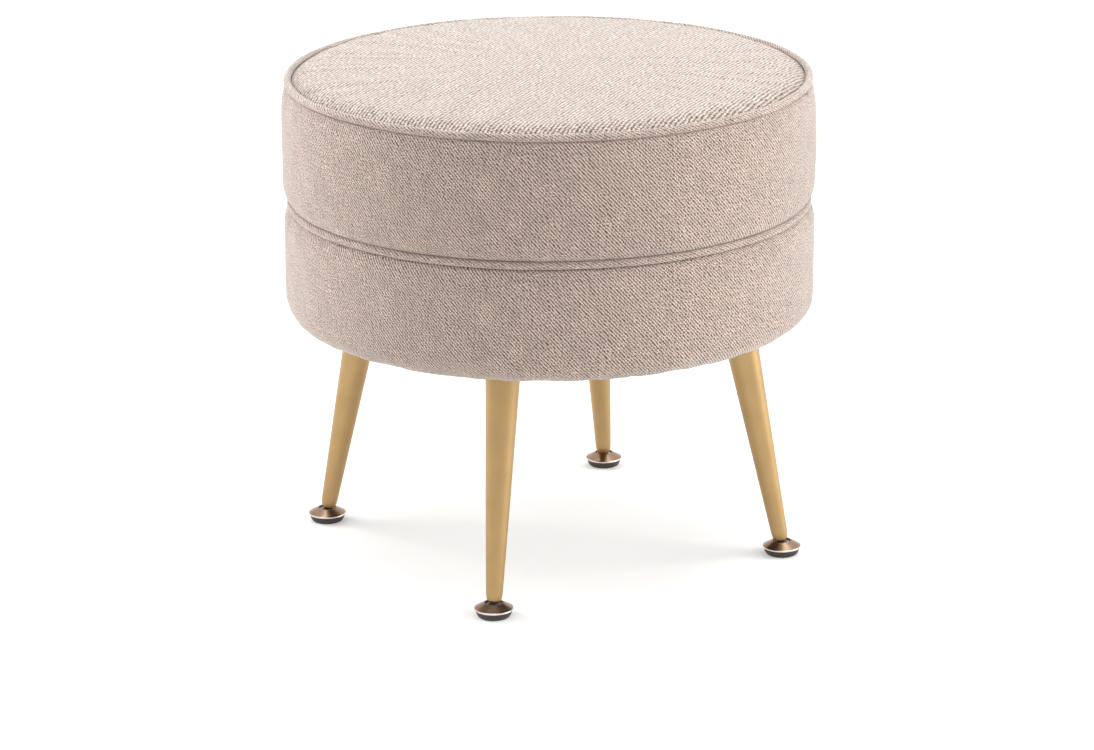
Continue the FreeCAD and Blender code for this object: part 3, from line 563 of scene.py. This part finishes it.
def settle(obj, free, seed):
    """Lets the free points of a padded piece swell under pressure as cloth held at its seams.

    The cloth starts a little uneven. The even part of its swell is taken off ring by ring, which leaves the
    sewn outline at its size, and no point moves further than the pucker.
    """
    clean = coordinates(obj)
    radius = np.maximum(polar(clean)[1], TINY)
    out = np.c_[clean[:, :2] / radius[:, None], np.zeros(len(clean))]
    draw = np.random.default_rng(seed)
    uneven = np.zeros_like(clean)
    for _ in range(UNEVEN_WAVES):
        wave = draw.normal(size=3)
        wave *= 2 * pi / (draw.uniform(28, 70) * MM * np.linalg.norm(wave))
        uneven += np.sin(clean @ wave + draw.uniform(0, 2 * pi))[:, None] * draw.normal(size=3)
    move_points(obj, clean + UNEVEN_HEIGHT * uneven * free[:, None])
    swell(obj, ~free)
    move = coordinates(obj) - clean
    ring = np.round(np.c_[radius, clean[:, 2]] / RING_WIDTH).astype(int)
    ring = np.unique(ring, axis=0, return_inverse=True)[1].ravel()
    count = np.maximum(np.bincount(ring), 1)
    even_out = np.bincount(ring, (move * out).sum(1)) / count
    even_up = np.bincount(ring, move[:, 2]) / count
    move -= out * even_out[ring][:, None]
    move[:, 2] -= even_up[ring]
    most = get_sizes().pucker
    move *= np.minimum(1.0, most / np.maximum(np.linalg.norm(move, axis=1), TINY))[:, None]
    move_points(obj, clean + move * free[:, None])


# Profiles of the drum, as (radius, level)

def panel_profile():
    """The seat's top from its middle to the seam: a shallow crown, then a shoulder that turns down."""
    sizes = get_sizes()
    edge = Vector((PANEL_RADIUS, PANEL_LOW + sizes.cloth))
    shoulder = Vector((edge.x - sizes.shoulder, SEAT_HEIGHT - sizes.crown_fall))
    crown = arc((0.0, SEAT_HEIGHT), (1, 0), shoulder, 40)
    heading = crown[-1] - crown[-2]
    return places((0.0, SEAT_HEIGHT)) + crown + arc(shoulder, heading, edge, 12)


def beside(seam, out, way):
    """The place above or below a seam where cloth meets the piping, a little outside the piping's middle."""
    return seam + Vector((out, way * sqrt(WELT_RADIUS * WELT_RADIUS - out * out)))


def upper_profile():
    """The upper band's face from the top piping to the waist piping."""
    sizes = get_sizes()
    top = beside(TOP_SEAM, TOP_MEET, -1)
    waist = beside(WAIST_SEAM, WAIST_MEET, 1)
    side = DRUM_RADIUS - sizes.belly
    high = Vector((side, top.y - sizes.top_roll))
    low = Vector((side, waist.y + sizes.waist_roll))
    half = (high.y - low.y) / 2
    swell = (half * half + sizes.belly * sizes.belly) / (2 * sizes.belly)
    lean = half / swell
    roll = arc(high, (-lean, 1), top, 7)[::-1]
    belly = arc(high, (lean, -1), low, 15)
    return roll + [high] + belly + arc(low, (-lean, -1), waist, 6)


def lower_profile():
    """The lower band's face from the waist piping down round the bottom edge to its hem underneath."""
    sizes = get_sizes()
    waist = beside(WAIST_SEAM, WAIST_MEET, -1)
    roll_end = Vector((LOWER_RADIUS, waist.y - sizes.waist_roll))
    curve_start = Vector((LOWER_RADIUS, LOWER_LOW + sizes.bottom_curve))
    curve_end = Vector((LOWER_RADIUS - sizes.bottom_curve, LOWER_LOW))
    hem = Vector((HEM_RADIUS, LOWER_LOW))
    roll = arc(roll_end, (0, 1), waist, 6)[::-1]
    side = line(roll_end, curve_start, 15)
    return roll + [roll_end] + side + arc(curve_start, (0, -1), curve_end, 9) + line(curve_end, hem, 3)


def sew_band(name, face, inside, material, *nodes):
    """A padded band: its face and its inner side are turned as one closed ring, swollen and smoothed."""
    profile = face + inside
    obj = turned(name, profile, get_sizes().steps_round, closed=True)
    lay_cloth(obj, profile, LOWER_RADIUS, closed=True)
    points = coordinates(obj)
    travelled = along_profile(np.c_[polar(points)[1], points[:, 2]], profile, True)
    whole = sum((b - a).length for a, b in zip(face, face[1:]))
    near = 0.01 * MM
    free = (travelled > near) & (travelled < whole - near)
    settle(obj, free, len(name))
    subdivide(obj)
    dent_seam(obj)
    dress(obj, material, "frame", "cover_cloth", *nodes)


def dent_seam(obj):
    """Sinks the closing seam down the back of a band."""
    depth = get_sizes().seam_dent
    seam_width = 1.3 * MM
    points = coordinates(obj)
    angle, radius = polar(points)
    aside = (angle - BACK) * radius
    sink = depth * np.exp(-(aside / seam_width) ** 2) * (radius > FOAM_BORE + 4 * MM)
    points[:, :2] *= ((radius - sink) / np.maximum(radius, TINY))[:, None]
    move_points(obj, points)


class OTTOMAN_OT_seat_cushion(bpy.types.Operator):
    """Makes the crowned seat cushion under its round top panel"""

    bl_idname = "ottoman.seat_cushion"
    bl_label = "Seat cushion"

    def execute(self, context):
        sizes = get_sizes()
        cells = sizes.steps_round // 4
        bpy.ops.mesh.primitive_grid_add(x_subdivisions=cells, y_subdivisions=cells, size=2.0)
        obj = context.object
        rename(obj, "seat_cushion")
        move_points(obj, self.rounded(coordinates(obj)))
        edit_all()
        bpy.ops.mesh.region_to_loop()
        side = self.side(sizes)
        for before, after in zip(side, side[1:]):
            bpy.ops.mesh.extrude_edges_move(TRANSFORM_OT_translate={"value": (0, 0, after.y - before.y)})
            grow = after.x / before.x
            bpy.ops.transform.resize(value=(grow, grow, 1), center_override=(0, 0, after.y))
        bpy.ops.mesh.fill_grid(span=cells)
        close_outward()
        bpy.ops.object.shade_smooth()
        points = coordinates(obj)
        free = (polar(points)[1] < PANEL_RADIUS - MM) & (points[:, 2] > PANEL_LOW)
        settle(obj, free, 3)
        lay_flat(obj)
        subdivide(obj)
        cloth = cover_cloth("cover_cloth_top", radians(10), 1.5)
        dress(obj, cloth, "frame", "cover_cloth", "top_cover", "seat_foam")
        return {"FINISHED"}

    def rounded(self, square):
        """The points of a square grid, 2 across, moved onto rings and lifted to the panel's profile."""
        profile = np.array([tuple(p) for p in panel_profile()])
        x, y = square[:, 0], square[:, 1]
        radius = np.maximum(np.abs(x), np.abs(y)) * PANEL_RADIUS
        turn = np.where(
            np.abs(x) >= np.abs(y),
            np.where(x >= 0, 0.0, pi) + pi / 4 * y / np.where(x == 0, 1, x),
            np.where(y >= 0, pi / 2, -pi / 2) - pi / 4 * x / np.where(y == 0, 1, y))
        level = np.interp(radius, profile[:, 0], profile[:, 1])
        return np.c_[radius * np.cos(turn), radius * np.sin(turn), level]

    def side(self, sizes):
        """The cushion's side as (radius, level): tucked in under the piping, then down inside the band."""
        found = places(
            (PANEL_RADIUS, PANEL_LOW + sizes.cloth),
            (TOP_SEAM.x - 3.3 * MM, TOP_SEAM.y - 1.6 * MM),
            (TOP_SEAM.x - 1.6 * MM, UPPER_HIGH - 0.6 * MM))
        inset = Vector((sizes.cloth + 0.6 * MM, 0))
        low, high = DECK_TOP + EDGE_MARGIN, UPPER_HIGH - EDGE_MARGIN
        found += [p - inset for p in upper_profile() if low < p.y < high]
        found.append(Vector((found[-1].x, DECK_TOP + BOARD_GAP)))
        return found


class OTTOMAN_OT_side_bands(bpy.types.Operator):
    """Makes the padded upper and lower side bands"""

    bl_idname = "ottoman.side_bands"
    bl_label = "Side bands"

    def execute(self, context):
        cloth = cover_cloth("cover_cloth_bands", radians(-42))
        thickness = Vector((get_sizes().cloth, 0))
        face = upper_profile()
        lip = [p - thickness for p in face if p.y > DECK_TOP + EDGE_MARGIN]
        deck = DECK_TOP - BOARD_GAP
        inside = places((FOAM_BORE, WAIST_SEAM.y + SEAM_GAP), (FOAM_BORE, deck), (lip[-1].x, deck))
        inside += lip[::-1]
        sew_band("upper_side_band", face, inside, cloth, "upper_band", "upper_foam_wrap")
        board = BOARD_RADIUS + BOARD_GAP
        hem, step = BOARD_LEVEL - HEM_GAP, BOARD_LEVEL + FOAM_STEP
        inside = places((HEM_RADIUS, hem), (board, hem), (board, step))
        inside += places((FOAM_BORE, step), (FOAM_BORE, WAIST_SEAM.y - SEAM_GAP))
        sew_band("lower_side_band", lower_profile(), inside, cloth, "lower_band", "lower_foam_wrap")
        return {"FINISHED"}


class OTTOMAN_OT_piping(bpy.types.Operator):
    """Makes the piping round the seat and round the waist"""

    bl_idname = "ottoman.piping"
    bl_label = "Piping"

    def execute(self, context):
        # The piping's cloth has weaker painted shade between its threads than the bands'.
        cloth = cover_cloth("cover_cloth_piping", radians(58), 1.0, 0.85)
        self.sew("top_piping", TOP_SEAM, radians(70), 5, cloth, "top_welt")
        self.sew("waist_piping", WAIST_SEAM, radians(-143), 6, cloth, "waist_welt")
        return {"FINISHED"}

    def sew(self, name, seam, join, seed, cloth, node):
        """A ring of piping, a little uneven, whose ends overlap at the join."""
        bpy.ops.mesh.primitive_torus_add(
            major_radius=seam.x, minor_radius=WELT_RADIUS, major_segments=900, minor_segments=20,
            location=(0, 0, seam.y), generate_uvs=False)
        obj = bpy.context.object
        rename(obj, name)
        bpy.ops.object.transform_apply()
        points = coordinates(obj)
        angle, reach = polar(points)
        around = np.arctan2(points[:, 2] - seam.y, reach - seam.x)
        profile = [seam + Vector((cos(a), sin(a))) * WELT_RADIUS for a in np.linspace(pi, 3 * pi, 41)]
        lay_cloth(obj, profile, seam.x, seam=join)
        past = np.angle(np.exp(1j * (angle - join))) * seam.x
        lap = np.exp(-((past - 4 * MM) / (5 * MM)) ** 2) - 0.7 * np.exp(-(past / (1.4 * MM)) ** 2)
        thick = WELT_RADIUS * (1.0 + 0.035 * ripple(angle, seed, 30, 90) + 0.07 * lap)
        thick += 0.05 * MM * np.sin(around * 2 + 160 * angle)
        drift = 0.22 * MM * ripple(angle, seed + 10, 3, 24)
        sway = 0.30 * MM * ripple(angle, seed + 20, 2, 16)
        radius = seam.x + drift + thick * np.cos(around)
        level = seam.y + sway + thick * np.sin(around)
        move_points(obj, np.c_[radius * np.cos(angle), radius * np.sin(angle), level])
        bpy.ops.object.shade_smooth()
        dress(obj, cloth, "frame", "cover_cloth", node)


class OTTOMAN_OT_dust_cover(bpy.types.Operator):
    """Makes the thin lining stapled over the underside"""

    bl_idname = "ottoman.dust_cover"
    bl_label = "Dust cover"

    def execute(self, context):
        thick = 0.6 * MM
        low = BOARD_LEVEL - thick
        below = places((0.0, low)) + line((0, low), (HEM_RADIUS - 2.4 * MM, low), 60)
        below += line(below[-1], (HEM_RADIUS - 1.2 * MM, LINING_LOW), 2)
        below += line(below[-1], (LINING_RADIUS, LINING_LOW), 3)
        above = [p + Vector((0, thick)) for p in below][::-1]
        obj = turned("dust_cover_sheet", below + above, 168)
        points = coordinates(obj)
        angle, radius = polar(points)
        loose_radius, loose_run, staples = 128 * MM, 50 * MM, 28
        inner = np.clip((loose_radius - radius) / loose_run, 0.0, 1.0)
        sag = 1.6 * MM * inner * inner * (3 - 2 * inner)
        between_legs = 0.5 - 0.5 * np.cos(len(LEGS) * angle)
        at_staples = 0.5 + 0.5 * np.cos(staples * angle)
        pull = 0.45 * MM * np.clip((radius - 50 * MM) / (100 * MM), 0, 1) * at_staples * between_legs
        pull *= radius < HEM_RADIUS - 3 * MM
        points[:, 2] -= sag + pull + 0.3 * MM * inner * (1 + ripple(angle, 9, 3, 11))
        move_points(obj, points)
        lay_flat(obj)
        cloth = grained("nonwoven_lining", get_colours().lining, 0.9 * MM, 0.12 * MM, 0.8, 0.98)
        dress(obj, cloth, "frame", "lining_cloth", "dust_cover")
        return {"FINISHED"}


def leg_frame(leg):
    """The matrix from a leg's own axis, with its ball joint at the origin, to the leg's place."""
    up = -Vector(JOINTS[f"{leg}_foot_height"]["axis"])
    ball = Vector(JOINTS[f"{leg}_foot_tilt"]["pos_m"])
    out = Vector((ball.x, ball.y, 0)).normalized()
    across = up.cross(out).normalized()
    out = across.cross(up)
    return Matrix.Translation(ball) @ Matrix((out, across, up)).transposed().to_4x4()


def foot_frame(leg):
    """The matrix from an upright foot at the origin to the foot's place."""
    ball = Vector(JOINTS[f"{leg}_foot_tilt"]["pos_m"])
    return Matrix.Translation((ball.x, ball.y, 0)) @ Matrix.Rotation(atan2(ball.y, ball.x), 4, "Z")


def copy_to(model, name, matrix):
    """A copy of a model with its own mesh, moved to its place."""
    obj = model.copy()
    obj.data = model.data.copy()
    rename(obj, name)
    bpy.context.scene.collection.objects.link(obj)
    obj.matrix_world = matrix
    select_only(obj)
    bpy.ops.object.transform_apply()
    return obj


def join_pieces(pieces):
    """Joins pieces into the first of them."""
    bpy.ops.object.select_all(action="DESELECT")
    for obj in pieces:
        obj.select_set(True)
    bpy.context.view_layer.objects.active = pieces[0]
    bpy.ops.object.join()
    return pieces[0]


def discard(model):
    bpy.data.objects.remove(model, do_unlink=True)


class OTTOMAN_OT_legs(bpy.types.Operator):
    """Makes the four tapered legs with their rounded lower ends"""

    bl_idname = "ottoman.legs"
    bl_label = "Legs"

    def execute(self, context):
        sizes = get_sizes()
        plate_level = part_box("front_leg_plate")[0].z
        lift = Vector(JOINTS["front_foot_height"]["axis"]).z
        whole = (plate_level - JOINTS["front_foot_tilt"]["pos_m"][2]) / -lift
        uncut = 9 * MM
        top = whole + uncut
        start = sizes.leg_start
        slope = (sizes.leg_top - sizes.leg_bottom) / (whole - start)

        def radius(along):
            return sizes.leg_bottom + slope * (along - start)

        nose = Vector((radius(start + sizes.leg_nose), start + sizes.leg_nose))
        lip = Vector((sizes.leg_lip, start + 0.15 * MM))
        outside = arc(nose, (-slope, -1), lip, 10)[::-1] + [nose]
        outside += line(nose, (radius(top), top), 40)
        end = start + sizes.insert_length
        inside = places((radius(top) - sizes.leg_wall, top))
        inside += line(inside[0], (radius(end) - sizes.leg_wall, end), 12)
        inside += places((sizes.leg_bore, end), (sizes.leg_bore, start))
        profile = places((sizes.leg_lip - 0.2 * MM, start)) + outside + inside
        model = turned("leg_model", profile, 96, closed=True)
        lay_cloth(model, profile, 11 * MM, closed=True, name="turned", seam=pi)
        gold = satin_gold()
        for leg in LEGS:
            obj = copy_to(model, f"{leg}_leg_tube", leg_frame(leg))
            self.cut_level(obj, plate_level)
            dress(obj, gold, "frame", "satin_gold", f"{leg}_leg")
        discard(model)
        return {"FINISHED"}

    def cut_level(self, obj, level):
        """Cuts the leg's top level under its plate and closes the cut."""
        select_only(obj)
        edit_all()
        bpy.ops.mesh.bisect(plane_co=(0, 0, level), plane_no=(0, 0, 1), clear_outer=True, use_fill=True)
        bpy.ops.object.mode_set(mode="OBJECT")
        smooth_below(35)


class OTTOMAN_OT_feet(bpy.types.Operator):
    """Makes the threaded stems, polished caps and black pads of the levelling feet"""

    bl_idname = "ottoman.feet"
    bl_label = "Levelling feet"

    def execute(self, context):
        colours = get_colours()
        # The stems are drawn in dark steel, so the neck between leg and cap shows dark.
        dark_steel = grained(
            "dark_stem_steel", colours.dark_steel, 1.5 * MM, 0.01 * MM, 0.3, 0.42, Metallic=1.0)
        bronze = polished_bronze()
        rubber = grained("black_rubber", colours.rubber, 0.8 * MM, 0.06 * MM, 0.42, 0.6)
        pieces = (
            (self.stem(), "threaded_stem", leg_frame, dark_steel, "stem", "zinc_steel", "foot_stem"),
            (self.cap(), "polished_cap", foot_frame, bronze, "base", "polished_bronze", "foot_cap"),
            (self.pad(), "rubber_pad", foot_frame, rubber, "base", "black_rubber", "foot_pad"),
        )
        for leg in LEGS:
            for model, name, place, material, body, slot, node in pieces:
                obj = copy_to(model, f"{leg}_{name}", place(leg))
                dress(obj, material, f"{leg}_{body}", slot, f"{leg}_{node}")
        for piece in pieces:
            discard(piece[0])
        return {"FINISHED"}

    def stem(self):
        """A ball on a neck, and a cut thread above it."""
        sizes = get_sizes()
        ball, neck, neck_top = 4.9 * MM, 3.2 * MM, 4.9 * MM
        pitch = sizes.thread_pitch
        outer = sizes.thread_radius
        root = outer - 0.6 * pitch
        thread_low = neck_top + 0.4 * MM
        end = sizes.leg_start + 20 * MM
        shape = arc((0, -ball), (1, 0), (neck, sqrt(ball * ball - neck * neck)), 22)
        profile = places((0.0, -ball)) + shape
        profile += places((neck, neck_top), (root, thread_low), (root, end), (0.0, end))
        obj = turned("stem_model", profile, 48)
        flank = 0.44 * pitch
        crest = 0.12 * MM
        buried = root - 0.05 * MM
        ridge = [(buried, 0.0), (outer, flank), (outer, flank + crest)]
        ridge += [(buried, 2 * flank + crest), (buried, 0.0)]
        thread = drawn_line("thread_model", [(radius, thread_low + rise) for radius, rise in ridge])
        bpy.ops.mesh.remove_doubles(threshold=0.001 * MM)
        bpy.ops.object.mode_set(mode="OBJECT")
        winding = thread.modifiers.new("winding", "SCREW")
        set_all(
            winding, steps=32, render_steps=32, angle=2 * pi, screw_offset=pitch,
            iterations=int((end - neck_top - 1.4 * MM) / pitch), use_merge_vertices=False)
        apply_modifier(thread, winding.name)
        edit_all()
        bpy.ops.mesh.fill_holes(sides=6)
        close_outward()
        join_pieces([obj, thread])
        smooth_below(40)
        return obj

    def cap(self):
        """A shallow polished cone with a rounded rim and a small collar at its top."""
        rim = get_sizes().cap_radius
        edge = [(15.2, 6.1), (15.9, 6.1), (16.2, 6.18), (16.36, 6.36), (16.4, 6.6), (16.4, 6.95)]
        cone = [(16.33, 7.2), (16.1, 7.42), (15.6, 7.72), (14.0, 8.6), (12.0, 9.71), (10.0, 10.82)]
        collar = [(8.8, 11.48), (8.4, 11.7), (8.15, 11.84), (7.95, 11.9), (7.75, 11.9), (7.58, 11.82)]
        inside = [(7.5, 11.6), (7.5, 11.1), (8.4, 10.2), (12.0, 8.2), (15.2, 6.75)]
        scale = rim / edge[-1][0]
        profile = [Vector(p) * scale for p in edge + cone + collar + inside]
        obj = turned("cap_model", profile, 96, closed=True)
        lay_cloth(obj, profile, 12 * MM, closed=True, name="turned", seam=pi)
        smooth_below(50)
        return obj

    def pad(self):
        """A black bowl under the cap, with rings cut into its sole."""
        sole = [(0.0, 0.5), (3.4, 0.5), (3.7, 0.0), (6.2, 0.0), (6.5, 0.5), (7.3, 0.5), (7.6, 0.0)]
        sole += [(10.0, 0.0), (10.3, 0.5), (11.0, 0.5), (11.3, 0.0)]
        side = [(12.2, 0.0), (12.7, 0.12), (13.2, 0.5), (13.8, 1.3), (14.4, 2.5), (14.9, 3.8)]
        top = [(15.25, 5.1), (15.4, 5.95), (15.1, 6.0), (15.05, 6.7), (8.65, 10.1), (8.6, 1.2), (0.0, 1.2)]
        profile = [Vector(p) * MM for p in sole + side + top]
        obj = turned("pad_model", profile, 96)
        smooth_below(35)
        return obj


class OTTOMAN_OT_plate_screws(bpy.types.Operator):
    """Makes the pan-head screws of the leg plates"""

    bl_idname = "ottoman.plate_screws"
    bl_label = "Plate screws"

    def execute(self, context):
        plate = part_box("front_leg_plate")[0].z
        face, tip = (corner.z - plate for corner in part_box("leg_plate_screws"))
        dome = [(0.0, 0.0), (2.4, 0.05), (3.5, 0.4), (4.2, 1.1), (4.4, 1.8)]
        head_radius, shank_radius, seat = 4.4 * MM, 2.35 * MM, -0.02 * MM
        profile = [Vector((r * MM, face + rise * MM)) for r, rise in dome]
        profile += places((head_radius, seat), (shank_radius, seat))
        profile += places((shank_radius, tip - 3 * MM), (0.0, tip))
        model = turned("screw_model", profile, 32)
        self.cut_cross(model, face)
        copies = []
        half_spacing = 17 * MM
        for leg in LEGS:
            low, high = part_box(f"{leg}_leg_plate")
            middle = (low + high) / 2
            for x in (-half_spacing, half_spacing):
                for y in (-half_spacing, half_spacing):
                    turn = Matrix.Rotation(1.7 * len(copies), 4, "Z")
                    place = Matrix.Translation((middle.x + x, middle.y + y, low.z)) @ turn
                    copies.append(copy_to(model, f"plate_screw_{len(copies)}", place))
        discard(model)
        obj = join_pieces(copies)
        rename(obj, "pan_head_screws")
        smooth_below(40)
        steel = grained("zinc_steel", get_colours().steel, 1.5 * MM, 0.01 * MM, 0.22, 0.36, Metallic=1.0)
        dress(obj, steel, "frame", "zinc_steel", "leg_plate_screws")
        return {"FINISHED"}

    def cut_cross(self, model, face):
        """Cuts a cross recess into the head."""
        for turn in (0.0, pi / 2):
            bpy.ops.mesh.primitive_cube_add(size=1.0, location=(0, 0, face), rotation=(0, 0, turn))
            blade = bpy.context.object
            blade.scale = (4.4 * MM, 0.9 * MM, 2.6 * MM)
            bpy.ops.object.transform_apply()
            cut = model.modifiers.new("recess", "BOOLEAN")
            set_all(cut, object=blade, solver="EXACT")
            apply_modifier(model, cut.name)
            discard(blade)


class OTTOMAN_OT_hidden_frame(bpy.types.Operator):
    """Finishes the carried-over solids: boards, posts, skins, plates, fasteners, inserts and sockets"""

    bl_idname = "ottoman.hidden_frame"
    bl_label = "Frame and fittings"

    def execute(self, context):
        colours = get_colours()
        finishes = {
            "plywood": sawn_wood("birch_plywood", colours.plywood, 9 * MM, (0.15, 1.0, 1.0), 0.16),
            "pine": sawn_wood("sawn_pine", colours.pine, 5 * MM, (1.0, 1.0, 0.12), 0.22),
            "hardboard": sawn_wood("pressed_hardboard", colours.hardboard, 2 * MM, (1.0, 1.0, 1.0), 0.12),
            "black_steel": grained(
                "black_painted_steel", colours.plate, 1.6 * MM, 0.03 * MM, 0.38, 0.55, Coat_Weight=0.2),
            "zinc_steel": bpy.data.materials["zinc_steel"],
            "nylon": grained("moulded_nylon", colours.nylon, 1.2 * MM, 0.02 * MM, 0.4, 0.5),
        }
        for subpart in frame["record"]["subparts"]:
            obj = frame["nodes"][subpart["node"]]
            if not obj.hide_render:
                obj.data.materials.clear()
                obj.data.materials.append(finishes[subpart["material_slot"]])
        return {"FINISHED"}


class OTTOMAN_OT_stage(bpy.types.Operator):
    """Sets the pale floor, the soft studio light and the camera"""

    bl_idname = "ottoman.stage"
    bl_label = "Stage"

    def execute(self, context):
        self.floor()
        self.light()
        self.camera()
        context.scene.view_settings.view_transform = "Standard"
        return {"FINISHED"}

    def floor(self):
        """A pale floor that reads as white to the camera and in polished metal, clear from below."""
        bpy.ops.mesh.primitive_plane_add(size=5.0, location=(0, 0, -0.2 * MM))
        obj = bpy.context.object
        obj.name = "studio_floor"
        bpy.ops.object.transform_apply()
        material, tree, shader = new_material("studio_paper", Roughness=0.9, Specular_IOR_Level=0.1)
        tint = ranged(tree, speckle(tree, 1 / 3, Detail=1.0), 0.0, 1.0, 0.985, 1.0)
        tone = get_colours().floor
        tree.links.new(tinted(tree, tone, tint), shader.inputs["Base Color"])
        level = ranged(tree, self.seen_rays(tree), 0.0, 1.0, 0.0, 0.24)
        glow = add_node(tree, "Emission", {"Strength": level}, {"Color": (1, 1, 1, 1)})
        total = add_node(tree, "AddShader", {0: shader.outputs[0], 1: glow.outputs[0]})
        side = add_node(tree, "NewGeometry")
        clear = add_node(tree, "BsdfTransparent")
        sheet = add_node(
            tree, "MixShader",
            {"Fac": side.outputs["Backfacing"], 1: total.outputs[0], 2: clear.outputs[0]})
        tree.links.new(sheet.outputs[0], tree.nodes["Material Output"].inputs["Surface"])
        obj.data.materials.append(material)

    def seen_rays(self, tree):
        """1 for rays from the camera, from polished metal and through clear surfaces, otherwise 0."""
        path = add_node(tree, "LightPath")
        seen = path.outputs["Is Camera Ray"]
        for kind in ("Is Glossy Ray", "Is Transmission Ray"):
            links = {0: seen, 1: path.outputs[kind]}
            seen = add_node(tree, "Math", links, operation="MAXIMUM").outputs[0]
        return seen

    def light(self):
        """Softboxes above and at both sides, and an even room light."""
        world = bpy.data.worlds.new("studio")
        bpy.context.scene.world = world
        world.use_nodes = True
        tree = world.node_tree
        room = tree.nodes["Background"]
        level = ranged(tree, self.seen_rays(tree), 0.0, 1.0, 0.74, 1.0)
        room.inputs["Color"].default_value = (1.0, 1.0, 1.0, 1.0)
        tree.links.new(level, room.inputs["Strength"])
        lamps = [
            ("top_softbox", (0.1, 0.25, 2.6), (0.0, 0.0, 0.3), 2.2, 38.5, "#EFFFFB", True),
            ("left_softbox", (-2.6, 0.35, 1.0), (0.0, 0.0, 0.25), 1.8, 61.0, "#FFFCFA", False),
            ("right_softbox", (2.7, 0.55, 1.1), (0.0, 0.0, 0.25), 1.8, 58.0, "#FFFCFA", True),
        ]
        for name, place, target, size, power, code, mirrored in lamps:
            lamp = bpy.data.lights.new(name, "AREA")
            set_all(lamp, shape="SQUARE", size=size, energy=power, color=linear(code))
            obj = bpy.data.objects.new(name, lamp)
            obj.visible_glossy = mirrored
            obj.location = place
            obj.rotation_euler = (Vector(target) - Vector(place)).to_track_quat("-Z", "Y").to_euler()
            bpy.context.scene.collection.objects.link(obj)

    def camera(self):
        """The camera as fitted to the photograph's 1094 by 750 frame."""
        lens = bpy.data.cameras.new("photo_camera")
        set_all(lens, sensor_fit="HORIZONTAL", sensor_width=36.0, lens=138.25, clip_end=100.0)
        obj = bpy.data.objects.new("photo_camera", lens)
        obj.location = (0.8161, -3.3434, 1.2089)
        obj.rotation_euler = (radians(72.84), radians(0.415), radians(13.64))
        bpy.context.scene.collection.objects.link(obj)
        bpy.context.scene.camera = obj


class OTTOMAN_PT_pieces(bpy.types.Panel):
    """Lists the steps that dress the ottoman"""

    bl_label = "Ottoman"
    bl_space_type = "VIEW_3D"
    bl_region_type = "UI"
    bl_category = "Ottoman"

    def draw(self, context):
        for step in STEPS:
            self.layout.operator(step.bl_idname)


STEPS = (
    OTTOMAN_OT_stage,
    OTTOMAN_OT_seat_cushion,
    OTTOMAN_OT_side_bands,
    OTTOMAN_OT_piping,
    OTTOMAN_OT_dust_cover,
    OTTOMAN_OT_legs,
    OTTOMAN_OT_feet,
    OTTOMAN_OT_plate_screws,
    OTTOMAN_OT_hidden_frame,
)
CLASSES = (OttomanSizes, OttomanColours) + STEPS + (OTTOMAN_PT_pieces,)


def register():
    for item in CLASSES:
        bpy.utils.register_class(item)
    bpy.types.Scene.ottoman_sizes = PointerProperty(type=OttomanSizes)
    bpy.types.Scene.ottoman_colours = PointerProperty(type=OttomanColours)


def unregister():
    del bpy.types.Scene.ottoman_colours
    del bpy.types.Scene.ottoman_sizes
    for item in reversed(CLASSES):
        bpy.utils.unregister_class(item)


def main():
    register()
    bpy.ops.ottoman.stage()
    bpy.ops.ottoman.seat_cushion()
    bpy.ops.ottoman.side_bands()
    bpy.ops.ottoman.piping()
    bpy.ops.ottoman.dust_cover()
    bpy.ops.ottoman.legs()
    bpy.ops.ottoman.feet()
    bpy.ops.ottoman.plate_screws()
    bpy.ops.ottoman.hidden_frame()


if __name__ == "__main__":
    main()
